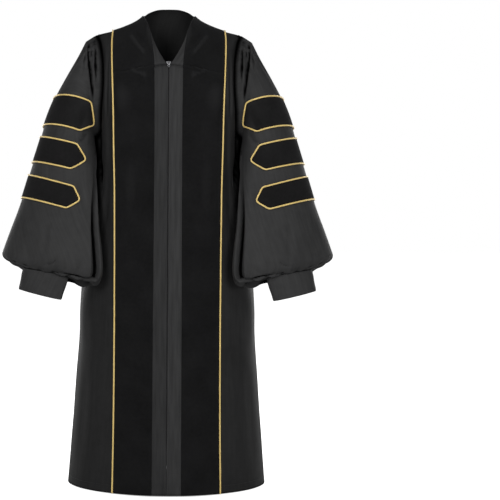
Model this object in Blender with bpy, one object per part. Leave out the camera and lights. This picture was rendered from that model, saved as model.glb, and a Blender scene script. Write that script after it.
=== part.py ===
"""Doctoral gown, filled out as it is worn, with nobody inside.

Metres, +Z up. The gown faces -Y, and +X is on the right of someone who looks at its front.
The origin is midway between the wearer's shoulders, level with the two side neck points,
where the shoulder seams meet the neck.
"""

import math

import bmesh
import bpy
from mathutils import Matrix, Vector

# Body, in metres
LENGTH = 1.340
NECK_HALF = 0.0735
NECK_BACK = 0.062
ARMPIT_DROP = 0.300
FRONT_ROUNDING = 0.240
BACK_ROUNDING = 0.190

# Cloth, in metres
CLOTH = 0.0016
VELVET = 0.0018
LAYER_GAP = 0.0005
SEAM_GAP = 0.0004
PIPING_RADIUS = 0.0022
BAR_PIPING_RADIUS = 0.0023

# The line that the gown's top edge makes from the middle of the back neck out along a shoulder
TOP_LINE = (
    # x, height
    (0.0000, 0.0285),
    (0.0320, 0.0260),
    (0.0600, 0.0135),
    (0.0735, 0.0000),
    (0.0827, -0.0087),
    (0.0955, -0.0173),
    (0.1127, -0.0260),
    (0.1340, -0.0347),
    (0.1605, -0.0434),
    (0.1950, -0.0520),
    (0.2200, -0.0600),
)

# Sections of the body. A square of 1 is an ellipse, and less is boxier.
BODY = (
    # height, half_width, front, back, square
    (0.000, 0.2400, 0.118, 0.100, 0.80),
    (-0.100, 0.2300, 0.122, 0.108, 0.80),
    (-0.200, 0.2200, 0.133, 0.116, 0.82),
    (-0.300, 0.2090, 0.139, 0.122, 0.86),
    (-0.450, 0.2130, 0.142, 0.126, 0.92),
    (-0.600, 0.2300, 0.144, 0.132, 0.96),
    (-0.720, 0.2450, 0.147, 0.139, 1.00),
    (-0.820, 0.2512, 0.151, 0.146, 1.00),
    (-0.890, 0.2525, 0.154, 0.151, 1.00),
    (-1.030, 0.2620, 0.162, 0.162, 1.00),
    (-1.170, 0.2710, 0.171, 0.175, 1.00),
    (-1.340, 0.2826, 0.183, 0.190, 1.00),
)

# Neckline of a front, from the side neck point down to the zip
NECKLINE = (
    # height, x
    (-0.1600, 0.0011),
    (-0.1550, 0.0030),
    (-0.1400, 0.0125),
    (-0.1110, 0.0292),
    (-0.0810, 0.0430),
    (-0.0557, 0.0517),
    (-0.0293, 0.0612),
    (0.0000, 0.0735),
)

# The outer edge of a velvet panel, where its piping runs
PIPING_LINE = (
    # height, x
    (-1.3400, 0.1485),
    (-1.1100, 0.1463),
    (-0.8200, 0.1467),
    (-0.5300, 0.1485),
    (-0.3900, 0.1515),
    (-0.2500, 0.1545),
    (-0.1400, 0.1595),
    (-0.0750, 0.1615),
    (-0.0434, 0.1605),
)

# The inner edge of a velvet panel. Above its last row it follows the neckline.
VELVET_EDGE = (
    # height, x
    (-1.3400, 0.0405),
    (-0.9000, 0.0400),
    (-0.1550, 0.0400),
    (-0.0600, 0.0485),
)
NECK_MARGIN = 0.0020

# The armhole, as a share of the way from shoulder to armpit
ARMHOLE = (
    # share, front_x, back_x
    (0.00, 0.2080, 0.2080),
    (0.10, 0.1975, 0.1995),
    (0.30, 0.1870, 0.1920),
    (0.55, 0.1850, 0.1900),
    (0.80, 0.1930, 0.1960),
    (0.95, 0.2045, 0.2050),
    (1.00, 0.2089, 0.2089),
)

# Soft vertical folds of the body, as troughs. Turn 0 is the middle front and 180 the middle back.
BODY_FOLDS = (
    # turn, top, bottom, half_width in degrees, depth
    (52.0, -0.14, -0.80, 5.0, 0.006),
    (122.0, -0.30, -1.34, 9.0, 0.012),
    (148.0, -0.26, -1.34, 9.0, 0.014),
    (174.0, -0.28, -1.34, 9.0, 0.013),
)

# Rows of the body's grid, as steps round the armhole and then as heights at the side.
# The seam across the chest is at the sixth step.
ARMHOLE_STEPS = (0.00, 0.11, 0.22, 0.33, 0.44, 0.54, 0.64, 0.74, 0.84, 0.93, 1.00)
BODY_ROWS_BELOW = (-0.40, -0.49, -0.59, -0.69, -0.79, -0.90, -1.01, -1.12, -1.23, -1.34)
CHEST_SEAM_ROW = 5
ARMPIT_ROW = 10
ZIP_END_ROW = 19

# Columns of a front's grid: zip edge, velvet edge, three more, velvet's outer edge, then the side
VELVET_COLUMN = 1
UNDER_VELVET_COLUMN = 2
PIPING_COLUMN = 5
FRONT_SIDE_COLUMNS = 5
BACK_COLUMNS = 24

# Rings of a sleeve under its armhole: the outer line of the arm, then the inner one
SLEEVE = (
    # outer x, y, height, inner x, y, height, half_depth, back_drop
    (0.2390, 0.000, -0.0760, 0.2110, -0.006, -0.3560, 0.074, 0.000),
    (0.2620, -0.001, -0.1210, 0.2130, -0.016, -0.3640, 0.076, 0.000),
    (0.2960, -0.003, -0.1820, 0.2135, -0.030, -0.3780, 0.076, 0.000),
    (0.3260, -0.006, -0.2430, 0.2125, -0.046, -0.3980, 0.073, 0.000),
    (0.3480, -0.010, -0.3020, 0.2110, -0.062, -0.4260, 0.069, 0.000),
    (0.3640, -0.014, -0.3620, 0.2095, -0.078, -0.4620, 0.064, 0.000),
    (0.3840, -0.018, -0.4280, 0.2070, -0.094, -0.5060, 0.060, 0.000),
    (0.4030, -0.022, -0.4900, 0.2000, -0.109, -0.5560, 0.057, 0.002),
    (0.4230, -0.028, -0.5550, 0.1910, -0.122, -0.6100, 0.056, 0.004),
    (0.4450, -0.034, -0.6150, 0.1840, -0.133, -0.6640, 0.056, 0.008),
    (0.4640, -0.040, -0.6680, 0.1790, -0.141, -0.7140, 0.055, 0.016),
    (0.4700, -0.044, -0.6900, 0.1820, -0.143, -0.7440, 0.050, 0.028),
    (0.4580, -0.047, -0.7040, 0.1980, -0.140, -0.7620, 0.042, 0.030),
    (0.4300, -0.066, -0.7140, 0.2500, -0.133, -0.7560, 0.032, 0.016),
    (0.4070, -0.086, -0.7219, 0.2850, -0.124, -0.7489, 0.023, 0.000),
)

# Soft folds of a sleeve, as troughs that run down it. Turn 0 is its outer line, 90 its front.
SLEEVE_FOLDS = (
    # turn, first_ring, last_ring, half_width in degrees, depth
    (9.0, -0.6, 3.7, 8.9, 0.007),
    (27.0, -0.6, 3.3, 8.9, 0.009),
    (45.0, -0.6, 2.6, 8.9, 0.008),
    (63.0, -0.6, 3.0, 8.9, 0.009),
    (81.0, -0.6, 2.2, 8.9, 0.006),
    (-11.25, -0.6, 3.4, 11.0, 0.008),
    (-33.75, -0.6, 3.0, 11.0, 0.009),
    (-56.25, -0.6, 3.6, 11.0, 0.008),
    (-78.75, -0.6, 2.6, 11.0, 0.006),
    (154.3, 6.0, 12.5, 12.8, 0.013),
    (-108.0, 9.4, 13.5, 18.0, 0.010),
    (-162.0, 5.0, 12.5, 18.0, 0.010),
)
GATHER_START = 11.5
GATHER_DEPTH = 0.0045

# Quarters of a sleeve's ring, with the points that each gets
RING_QUARTERS = (
    # turns from, to, points
    (0.0, 90.0, 10),
    (90.0, 180.0, 7),
    (180.0, 270.0, 5),
    (270.0, 360.0, 8),
)

# A cuff, as the outer and inner edge of its top and of its bottom
CUFF = (
    # outer x, y, height, inner x, y, height, half_depth
    (0.4070, -0.086, -0.7230, 0.2860, -0.124, -0.7500, 0.023),
    (0.4110, -0.088, -0.7440, 0.2930, -0.126, -0.7730, 0.024),
    (0.4180, -0.091, -0.7830, 0.3010, -0.129, -0.8150, 0.024),
)
CUFF_POINTS = 24

# Velvet bars of a sleeve, between two planes that rise to the side and towards the front.
# Heights are where those planes cross x = BAR_X in the middle plane of the shoulders.
BARS = (
    # top, bottom, side_slope, front_slope, corner_turn, tip_turn, rows
    (-0.2424, -0.3380, 0.38, 0.27, 103.0, 125.0, 4),
    (-0.3692, -0.4457, 0.27, 0.11, 116.0, 141.4, 2),
    (-0.4883, -0.5561, 0.28, 0.085, 116.0, 136.0, 2),
)
BAR_X = 0.300
BAR_TIP_SHARE = 0.05
BAR_LAYER_GAP = 0.0014

# Zip, in metres
TAPE_EDGE = 0.0004
TAPE_WIDTH = 0.0130
TAPE = 0.0012
SLIDER_HEIGHT_AT = -0.1510
SLIDER_TOP_WIDTH = 0.0130
SLIDER_LOW_WIDTH = 0.0062
SLIDER_LENGTH = 0.0130
SLIDER_PLATE = 0.0022
SLIDER_GAP = 0.0006
BRIDGE_WIDTH = 0.0020
BRIDGE_REACH = 0.0046
BRIDGE_WALL = 0.0011
BRIDGE_HALF_LENGTH = 0.0040
TAB_WIRE = 0.0007
TAB_LIFT = 0.0018
TAB_HALF_WIDTH = 0.0030
TAB_LENGTH = 0.0110

COLOURS = {
    # red, green, blue, roughness, metallic
    "cloth": (0.035, 0.035, 0.037, 0.80, 0.0),
    "velvet": (0.010, 0.010, 0.011, 0.95, 0.0),
    "gold_piping": (0.720, 0.520, 0.160, 0.45, 0.0),
    "zip_tape": (0.012, 0.012, 0.013, 0.70, 0.0),
    "zip_metal": (0.620, 0.620, 0.630, 0.30, 1.0),
}


def smooth_at(table, column, at):
    """The value of a table's column where its first column is `at`, on a smooth curve through the rows."""
    rows = sorted(table)
    at = min(max(at, rows[0][0]), rows[-1][0])
    k = max(i for i in range(len(rows) - 1) if rows[i][0] <= at)

    def slope(i):
        low, high = max(i - 1, 0), min(i + 1, len(rows) - 1)
        return (rows[high][column] - rows[low][column]) / (rows[high][0] - rows[low][0])

    span = rows[k + 1][0] - rows[k][0]
    t = (at - rows[k][0]) / span
    near, far = rows[k][column], rows[k + 1][column]
    return (
        (2 * t**3 - 3 * t**2 + 1) * near
        + (t**3 - 2 * t**2 + t) * span * slope(k)
        + (3 * t**2 - 2 * t**3) * far
        + (t**3 - t**2) * span * slope(k + 1)
    )


def ease(t):
    """0 to 1, level at both ends."""
    t = min(max(t, 0.0), 1.0)
    return t * t * (3 - 2 * t)


def trough(offset, half_width):
    """1 in the middle of a fold, falling smoothly to 0 at its edges."""
    t = offset / half_width
    return (1 - t * t) ** 2 if abs(t) < 1 else 0.0


def body_height(x, share):
    """Height of a body point that lies this share of the way from the top edge down to the hem."""
    return smooth_at(TOP_LINE, 1, abs(x)) * (1 - share) - LENGTH * share


def body_folds(turn, height):
    """How far the cloth sinks into the body's folds."""
    sunk = 0.0
    for at, top, bottom, half_width, depth in BODY_FOLDS:
        fade = ease((top - height) / 0.25) * (ease((height - bottom) / 0.20) if bottom > -LENGTH else 1)
        sunk += depth * fade * trough(abs(turn) - at, half_width)
    return sunk


def body_point(turn, share):
    """A point of the body's outer face. Turn is in degrees: 0 is the middle front, 180 the middle back."""
    level = -LENGTH * share
    angle = math.radians(turn)
    side, ahead = math.sin(angle), math.cos(angle)
    x = smooth_at(BODY, 1, level) * side
    z = body_height(x, share)
    drop = smooth_at(TOP_LINE, 1, abs(x)) - z
    reach = abs(ahead) ** smooth_at(BODY, 4, level)
    sunk = body_folds(turn, z)
    if ahead > 0:
        full = -(smooth_at(BODY, 2, level) - sunk) * reach
        rest = 0.0
        rounding = (1 - (1 - min(drop / FRONT_ROUNDING, 1.0)) ** 2) ** 0.75
    else:
        full = (smooth_at(BODY, 3, level) - sunk) * reach
        rest = NECK_BACK * math.sqrt(max(0.0, 1 - (x / NECK_HALF) ** 2))
        rounding = (1 - (1 - min(drop / BACK_ROUNDING, 1.0)) ** 2) ** 0.65
    return Vector((x, rest + (full - rest) * rounding, z))


def body_normal(turn, share):
    """Which way is out of the cloth at a body point."""
    step, down = 1.0, 0.004
    if share < down:
        x = body_point(turn, share).x
        lean = smooth_at(TOP_LINE, 1, abs(x) - 0.004) - smooth_at(TOP_LINE, 1, abs(x) + 0.004)
        over_neck = abs(turn) > 90 and abs(x) < NECK_HALF
        back = 3.0 * math.sqrt(1 - (x / NECK_HALF) ** 2) if over_neck else 0.0
        return Vector((math.copysign(lean / 0.008, x), back, 1.0)).normalized()
    across = body_point(turn + step, share) - body_point(turn - step, share)
    along = body_point(turn, min(share + down, 1.0)) - body_point(turn, share - down)
    return along.cross(across).normalized()


def turn_at(x, share, back=False):
    """The turn at which the body's section reaches this x."""
    turn = math.degrees(math.asin(min(1.0, x / smooth_at(BODY, 1, -LENGTH * share))))
    return 180 - turn if back else turn


def armhole_share(t):
    """Share of the body's length at t, which goes from 0 at the shoulder to 1 at the armpit."""
    return ARMPIT_DROP / (LENGTH - 0.06) * (1 - math.cos(math.pi * t)) / 2


ARMPIT_SHARE = armhole_share(1.0)


def armhole_x(share, back=False):
    return smooth_at(ARMHOLE, 2 if back else 1, share / ARMPIT_SHARE)


def body_rows():
    """Shares of the body's length at which its grid has a row."""
    above = [armhole_share(step) for step in ARMHOLE_STEPS]
    return above + [height / -LENGTH for height in BODY_ROWS_BELOW]


def x_on_line(table, share):
    """x of a line that is given by height, where it crosses a row of the body's grid."""
    x = 0.1
    for _ in range(6):
        x = smooth_at(table, 1, body_height(x, share))
    return x


def front_columns(share):
    """Turns of a front's grid points along one row, from the zip or neckline out to the side."""
    inner = x_on_line(NECKLINE, share)
    velvet = max(x_on_line(VELVET_EDGE, share), inner + NECK_MARGIN)
    outer = x_on_line(PIPING_LINE, share) - PIPING_RADIUS - SEAM_GAP
    steps = PIPING_COLUMN - VELVET_COLUMN
    marks = [inner] + [velvet + (outer - velvet) * k / steps for k in range(steps + 1)]
    turns = [turn_at(x, share) for x in marks]
    if share >= ARMPIT_SHARE:
        last = 90.0 - math.degrees(SEAM_GAP / 2 / smooth_at(BODY, 2, -LENGTH * share))
    else:
        last = turn_at(armhole_x(share), share)
    start = turns[-1]
    steps = FRONT_SIDE_COLUMNS
    return turns + [start + (last - start) * k / steps for k in range(1, steps + 1)]


def back_columns(share):
    """Turns of the back's grid points along one row, from one side round to the other."""
    if share >= ARMPIT_SHARE:
        first = 90.0 + math.degrees(SEAM_GAP / 2 / smooth_at(BODY, 3, -LENGTH * share))
    else:
        first = turn_at(armhole_x(share, back=True), share, back=True)
    return [first + (360 - 2 * first) * k / BACK_COLUMNS for k in range(BACK_COLUMNS + 1)]


def grid_of(columns_at, seam_shift):
    """Rows of (point, normal) of a panel of the body."""
    rows = []
    for share in body_rows():
        row = []
        for turn in columns_at(share):
            wrapped = turn - 360 if turn > 180 else turn
            point = body_point(wrapped, share)
            if share == 0.0:
                point = point + Vector((0, seam_shift, 0))
            row.append((point, body_normal(wrapped, share)))
        rows.append(row)
    return rows


def mirrored(grid):
    """The grid on the other side of the middle plane."""
    flip = Vector((-1, 1, 1))
    return [[(p * flip, n * flip) for p, n in reversed(row)] for row in grid]


def moved_out(grid, distance):
    """The grid's points moved along their normals."""
    return [[(p + n * distance, n) for p, n in row] for row in grid]


def between(first, second, t):
    """A (point, normal) pair part of the way from one pair to the next."""
    return first[0].lerp(second[0], t), first[1].lerp(second[1], t).normalized()


def part_of(grid, rows, columns, seams):
    """Part of a grid, drawn in by half a seam on each edge that is named in seams."""
    cut = [row[columns[0]:columns[1] + 1] for row in grid[rows[0]:rows[1] + 1]]
    edges = {"top": (0, 1), "bottom": (-1, -2)}
    for name, (edge, next_to) in edges.items():
        if name in seams:
            cut[edge] = [drawn_in(a, b) for a, b in zip(cut[edge], cut[next_to])]
    if "inner" in seams:
        cut = [[drawn_in(row[0], row[1])] + row[1:] for row in cut]
    if "outer" in seams:
        cut = [row[:-1] + [drawn_in(row[-1], row[-2])] for row in cut]
    return cut


def drawn_in(first, second):
    """The first pair moved towards the second by half a seam."""
    return between(first, second, SEAM_GAP / 2 / (second[0] - first[0]).length)


def on_grid(grid, row, column):
    """The (point, normal) pair at a place between a grid's own points."""
    i, j = min(int(row), len(grid) - 2), min(int(column), len(grid[0]) - 2)
    upper = between(grid[i][j], grid[i][j + 1], column - j)
    lower = between(grid[i + 1][j], grid[i + 1][j + 1], column - j)
    return between(upper, lower, row - i)


def material(name):
    made = bpy.data.materials.get(name)
    if made is None:
        red, green, blue, roughness, metallic = COLOURS[name]
        made = bpy.data.materials.new(name)
        made.use_nodes = True
        made.diffuse_color = (red, green, blue, 1.0)
        shader = made.node_tree.nodes["Principled BSDF"]
        shader.inputs["Base Color"].default_value = (red, green, blue, 1.0)
        shader.inputs["Roughness"].default_value = roughness
        shader.inputs["Metallic"].default_value = metallic
    return made


def add_object(name, data, finish, parent, collection):
    """Puts a mesh or curve in the scene under its part's name."""
    made = bpy.data.objects.new(name, data)
    made.data.materials.append(material(finish))
    made.parent = parent
    collection.objects.link(made)
    return made


def wall_mesh(name, grid, thickness, ring=False):
    """A closed wall: the grid is its outer face, and its inner face lies a thickness under it."""
    shape = bmesh.new()
    rows, columns = len(grid), len(grid[0])
    outer = [[shape.verts.new(p) for p, _ in row] for row in grid]
    inner = [[shape.verts.new(p - n * thickness) for p, n in row] for row in grid]
    steps = columns if ring else columns - 1
    for i in range(rows - 1):
        for j in range(steps):
            k = (j + 1) % columns
            shape.faces.new((outer[i][j], outer[i + 1][j], outer[i + 1][k], outer[i][k]))
            shape.faces.new((inner[i][j], inner[i][k], inner[i + 1][k], inner[i + 1][j]))
    for j in range(steps):
        k = (j + 1) % columns
        shape.faces.new((outer[0][j], outer[0][k], inner[0][k], inner[0][j]))
        shape.faces.new((outer[-1][j], inner[-1][j], inner[-1][k], outer[-1][k]))
    if not ring:
        for i in range(rows - 1):
            shape.faces.new((outer[i][0], inner[i][0], inner[i + 1][0], outer[i + 1][0]))
            shape.faces.new((outer[i][-1], outer[i + 1][-1], inner[i + 1][-1], inner[i][-1]))
    bmesh.ops.recalc_face_normals(shape, faces=shape.faces)
    bmesh.ops.triangulate(shape, faces=shape.faces)
    mesh = bpy.data.meshes.new(name)
    shape.to_mesh(mesh)
    shape.free()
    mesh.shade_smooth()
    mesh.set_sharp_from_angle(angle=math.radians(50))
    return mesh


def tube_curve(name, points, radius, closed=False, sides_level=1):
    """A round cord along points, as a curve with a bevel."""
    curve = bpy.data.curves.new(name, "CURVE")
    curve.dimensions = "3D"
    curve.bevel_depth = radius
    curve.bevel_resolution = sides_level
    curve.use_fill_caps = True
    line = curve.splines.new("POLY")
    line.points.add(len(points) - 1)
    for spot, point in zip(line.points, points):
        spot.co = (*point, 1.0)
    line.use_cyclic_u = closed
    return curve


def oval_ring(row, turn):
    """A point of an oval ring, from the outer and inner end of its long axis and half its depth."""
    outer, inner = Vector(row[0:3]), Vector(row[3:6])
    middle, reach = (outer + inner) / 2, (outer - inner) / 2
    forward = Vector((0, -1, 0))
    forward = (forward - reach * (forward.dot(reach) / reach.length_squared)).normalized()
    angle = math.radians(turn)
    return middle + reach * math.cos(angle) + forward * row[6] * math.sin(angle)


def sleeve_ring(ring, turn, armhole):
    """A point of a sleeve's outer face. Ring 0 is the armhole, and the last one is at the cuff."""
    row = SLEEVE[0]
    if ring > 1:
        row = [smooth_at(SLEEVE_ROWS, column, ring) for column in range(1, 9)]
    point = oval_ring(row, turn)
    point.z -= row[7] * max(0.0, -math.sin(math.radians(turn)))
    if ring < 1:
        point = armhole_point(armhole, turn).lerp(point, ring)
    return point


SLEEVE_ROWS = tuple((k + 1, *row) for k, row in enumerate(SLEEVE))


def armhole_point(armhole, turn):
    """A point on the armhole's edge, straight between the panels' own points."""
    at = (turn % 360) / 360 * len(armhole)
    k = int(at) % len(armhole)
    return armhole[k].lerp(armhole[(k + 1) % len(armhole)], at - int(at))


def armhole_edge(front, back):
    """The armhole's edge: from the shoulder down the front to the armpit, and up the back."""
    down = [front[i][-1][0] for i in range(ARMPIT_ROW + 1)]
    up = [back[i][0][0] for i in range(ARMPIT_ROW - 1, 0, -1)]
    return [p + Vector((SEAM_GAP, 0, 0)) for p in down + up]


def ring_turns():
    """Turns at which a sleeve's rings have a point: closer together where the head is gathered."""
    turns = []
    for start, end, points in RING_QUARTERS:
        turns += [start + (end - start) * k / points for k in range(points)]
    return turns


def sleeve_folds(ring, turn):
    """How far the cloth sinks into a sleeve's folds."""
    sunk = 0.0
    for at, first, last, half_width, depth in SLEEVE_FOLDS:
        fade = ease((ring - first) / 1.2) * ease((last - ring) / 1.6)
        offset = (turn - at + 180) % 360 - 180
        sunk += depth * fade * trough(offset, half_width)
    return sunk


def sleeve_grid(armhole, turns, rings):
    """Rows of (point, normal) of a sleeve. Every other column sinks into the gathers at the cuff."""
    rows = []
    for ring in rings:
        row = []
        gather = GATHER_DEPTH * ease((ring - GATHER_START) / 2)
        for k, turn in enumerate(turns):
            point = sleeve_ring(ring, turn, armhole)
            across = sleeve_ring(ring, turn + 4, armhole) - sleeve_ring(ring, turn - 4, armhole)
            low, high = max(ring - 0.3, 0.0), min(ring + 0.3, SLEEVE_ROWS[-1][0])
            along = sleeve_ring(high, turn, armhole) - sleeve_ring(low, turn, armhole)
            normal = across.cross(along).normalized()
            sunk = sleeve_folds(ring, turn) + gather * (k % 2)
            row.append((point - normal * sunk, normal))
        rows.append(row)
    return rows


def cuff_grid():
    """Rows of (point, normal) of a cuff."""
    rows = []
    for row in CUFF:
        around = []
        for k in range(CUFF_POINTS):
            turn = 360 * k / CUFF_POINTS
            across = oval_ring(row, turn + 4) - oval_ring(row, turn - 4)
            along = oval_ring(CUFF[-1], turn) - oval_ring(CUFF[0], turn)
            around.append((oval_ring(row, turn), across.cross(along).normalized()))
        rows.append(around)
    return rows


def on_sleeve(sleeve, turns, ring, turn):
    """The (point, normal) pair on a sleeve's own flat faces."""
    turn %= 360
    marks = turns + [360.0]
    k = max(i for i in range(len(turns)) if marks[i] <= turn)
    column = k + (turn - marks[k]) / (marks[k + 1] - marks[k])
    closed = [row + row[:1] for row in sleeve]
    return on_grid(closed, ring, column)


def bar_level(bar, point):
    """How high a point lies on the scale of a bar's planes."""
    return point.z - bar[2] * (point.x - BAR_X) + bar[3] * point.y


def ring_on_level(sleeve, turns, bar, turn, level):
    """The ring at which a sleeve, at this turn, comes down to a bar's level."""
    above, below = 0.02, 12.0
    for _ in range(24):
        ring = (above + below) / 2
        if bar_level(bar, on_sleeve(sleeve, turns, ring, turn)[0]) > level:
            above = ring
        else:
            below = ring
    return ring


def bar_turns(turns, bar):
    """Turns of a bar's columns, from its back tip round the sleeve's outer line to its front tip."""
    corner, tip = bar[4], bar[5]
    near = [turn if turn <= 180 else turn - 360 for turn in turns]
    inside = [turn for turn in near if abs(turn) < tip - 2 and abs(abs(turn) - corner) > 2]
    return sorted(inside + [-tip, -corner, corner, tip])


def bar_half(bar, turn):
    """Half the height of a bar at a turn: full between its corners, and narrow at its tips."""
    corner, tip = bar[4], bar[5]
    to_tip = min(max((abs(turn) - corner) / (tip - corner), 0.0), 1.0)
    return (bar[0] - bar[1]) / 2 * (1 - (1 - BAR_TIP_SHARE) * to_tip)


def bar_grid(sleeve, turns, bar):
    """Rows of (point, normal) of a velvet bar, from its upper edge to its lower one."""
    middle = (bar[0] + bar[1]) / 2
    rows = []
    for k in range(bar[6] + 1):
        row = []
        for turn in bar_turns(turns, bar):
            level = middle + bar_half(bar, turn) * (1 - 2 * k / bar[6])
            ring = ring_on_level(sleeve, turns, bar, turn, level)
            row.append(on_sleeve(sleeve, turns, ring, turn))
        rows.append(row)
    return moved_out(rows, BAR_LAYER_GAP + VELVET)


def bar_outline(sleeve, turns, bar):
    """Middle line of the piping round a bar, which runs beside each edge of it."""
    corner, tip = bar[4], bar[5]
    middle = (bar[0] + bar[1]) / 2
    slope = math.sqrt(1 + bar[2] ** 2 + bar[3] ** 2)
    beside = BAR_PIPING_RADIUS + SEAM_GAP
    path = []
    for end in (1, -1):
        ends = [on_sleeve(sleeve, turns, ring_on_level(sleeve, turns, bar, end * turn, middle), end * turn)[0]
                for turn in (corner, tip)]
        run = (ends[1] - ends[0]).length
        fall = (bar_half(bar, corner) - bar_half(bar, tip)) / slope
        bend = math.atan2(fall, run)
        one = (tip - corner) / run
        at_corner = corner + beside * math.tan(bend / 2) * one
        at_tip = tip + beside * one
        tip_half = bar_half(bar, tip) + beside * slope * math.tan(math.pi / 4 - bend / 2)
        straight = bar_half(bar, corner) + beside * slope
        stops = bar_turns(turns, bar)[::end]
        path += [(turn, end * straight) for turn in stops if abs(turn) < corner]
        taper = [at_corner, at_tip]
        taper[1:1] = [abs(turn) for turn in stops if end * turn > at_corner + 2 and abs(turn) < tip]
        shares = [(turn - at_corner) / (at_tip - at_corner) for turn in taper]
        sloped = [(end * turn, straight + (tip_half - straight) * t) for turn, t in zip(taper, shares)]
        path += [(turn, end * half) for turn, half in sloped]
        path += [(turn, -end * half) for turn, half in reversed(sloped)]
    out = BAR_PIPING_RADIUS + BAR_LAYER_GAP
    line = []
    for turn, half in path:
        ring = ring_on_level(sleeve, turns, bar, turn, middle + half)
        point, normal = on_sleeve(sleeve, turns, ring, turn)
        line.append(point + normal * out)
    return line


def tape_grid(front):
    """Rows of (point, normal) of a zip tape, which lies under the zip edge of a front."""
    rows = []
    first = CHEST_SEAM_ROW + 0.3
    for row in [first] + list(range(CHEST_SEAM_ROW + 1, ZIP_END_ROW + 1)):
        edge = on_grid(front, row, 0)[0].x
        width = on_grid(front, row, 1)[0].x - edge
        start, end = (TAPE_EDGE - edge) / width, (TAPE_WIDTH - edge) / width
        rows.append([on_grid(front, row, start), on_grid(front, row, end)])
    return moved_out(rows, -CLOTH - LAYER_GAP)


def slider_frame():
    """Where the slider sits: a point on the cloth, which way is out of it, and which way is down."""
    share = 0.0
    for _ in range(12):
        share += (body_height(0.0, share) - SLIDER_HEIGHT_AT) / LENGTH
    here = body_point(0.0, share)
    below = body_point(0.0, share + 0.008)
    down = (below - here).normalized()
    return here, Vector((0, down.z, -down.y)), down


def flat_plate(name, outline, thickness, matrix):
    """A mesh of a flat outline, given a thickness on both sides of its plane, in its place."""
    curve = bpy.data.curves.new(name, "CURVE")
    curve.dimensions = "2D"
    curve.fill_mode = "BOTH"
    curve.extrude = thickness / 2
    for loop in outline:
        line = curve.splines.new("POLY")
        line.points.add(len(loop) - 1)
        for spot, (across, up) in zip(line.points, loop):
            spot.co = (across, up, 0, 1)
        line.use_cyclic_u = True
    return mesh_from_curve(name, curve, matrix)


def mesh_from_curve(name, curve, matrix):
    """A curve made into a closed mesh, in its place."""
    guide = bpy.data.objects.new(name + "_guide", curve)
    bpy.context.scene.collection.objects.link(guide)
    bpy.context.view_layer.update()
    ready = guide.evaluated_get(bpy.context.evaluated_depsgraph_get())
    mesh = bpy.data.meshes.new_from_object(ready)
    bpy.data.objects.remove(guide)
    shape = bmesh.new()
    shape.from_mesh(mesh)
    bmesh.ops.remove_doubles(shape, verts=shape.verts, dist=0.000001)
    bmesh.ops.recalc_face_normals(shape, faces=shape.faces)
    bmesh.ops.transform(shape, matrix=matrix, verts=shape.verts)
    shape.to_mesh(mesh)
    shape.free()
    return mesh


def slider_outline():
    """The slider's front plate: wide shoulders at the top, drawn in to a narrow foot."""
    top, low, half = SLIDER_TOP_WIDTH / 2, SLIDER_LOW_WIDTH / 2, SLIDER_LENGTH / 2
    right = [(top - 0.0012, half), (top, half - 0.0014), (top - 0.0004, half - 0.0040),
             (low, -half + 0.0030), (low - 0.0008, -half)]
    return right + [(-x, y) for x, y in reversed(right)]


def bridge_outline():
    """The arch over the slider's plate, seen from its side: along the plate, then away from it."""
    steps = 6
    outer, inner = [], []
    for k in range(steps + 1):
        angle = math.pi * k / steps
        outer.append((BRIDGE_HALF_LENGTH * math.cos(angle), BRIDGE_REACH * math.sin(angle) ** 0.6))
        reach = BRIDGE_REACH - BRIDGE_WALL
        inner.append(((BRIDGE_HALF_LENGTH - BRIDGE_WALL) * math.cos(angle), reach * math.sin(angle) ** 0.6))
    foot = -SLIDER_PLATE / 2
    outer = [(outer[0][0], foot)] + outer + [(outer[-1][0], foot)]
    inner = [(inner[0][0], foot)] + inner + [(inner[-1][0], foot)]
    return outer + inner[::-1]


def add_slider(parent, collection, cutters):
    """The slider and, on its hinge under the bridge, the pull tab."""
    here, out, down = slider_frame()
    side = Vector((1, 0, 0))
    plate_at = here + out * (SLIDER_GAP + SLIDER_PLATE / 2)
    lay = Matrix((side, -down, out)).transposed().to_4x4()
    plate = flat_plate("zip_slider", [slider_outline()], SLIDER_PLATE, Matrix.Translation(plate_at) @ lay)
    slider = add_object("zip_slider", plate, "zip_metal", parent, collection)
    stand = Matrix((-down, out, side)).transposed().to_4x4()
    arch_at = here + out * (SLIDER_GAP + SLIDER_PLATE)
    arch = flat_plate("slider_bridge", [bridge_outline()], BRIDGE_WIDTH, Matrix.Translation(arch_at) @ stand)
    bridge = bpy.data.objects.new("slider_bridge", arch)
    bridge.hide_render = True
    bridge.display_type = "WIRE"
    cutters.objects.link(bridge)
    joined = slider.modifiers.new("bridge", "BOOLEAN")
    joined.operation = "UNION"
    joined.solver = "EXACT"
    joined.object = bridge

    hinge = here + out * (SLIDER_GAP + SLIDER_PLATE + TAB_LIFT)
    loop = []
    wide, narrow, length = TAB_HALF_WIDTH, TAB_HALF_WIDTH * 0.8, TAB_LENGTH
    for x, fall in ((-wide, 0), (wide, 0), (narrow, length * 0.75), (narrow * 0.5, length),
                    (-narrow * 0.5, length), (-narrow, length * 0.75)):
        loop.append(side * x + down * fall)
    tab = add_object("zip_pull_tab", tube_curve("zip_pull_tab", loop, TAB_WIRE, True), "zip_metal", parent,
                     collection)
    tab.location = hinge


def add_both(name, grid, thickness, finish, parent, collection, ring=False):
    """A wall on the gown's left and its mirror image on the right."""
    for side, shape in (("left", grid), ("right", mirrored(grid))):
        full = f"{name}_{side}"
        add_object(full, wall_mesh(full, shape, thickness, ring), finish, parent, collection)


def add_cords(name, points, radius, closed, sides_level, parent, collection):
    """A gold piping on the gown's left and its mirror image on the right."""
    for side, flip in (("left", 1), ("right", -1)):
        full = f"{name}_{side}"
        path = [Vector((flip * p.x, p.y, p.z)) for p in points]
        cord = tube_curve(full, path, radius, closed, sides_level)
        add_object(full, cord, "gold_piping", parent, collection)


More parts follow.
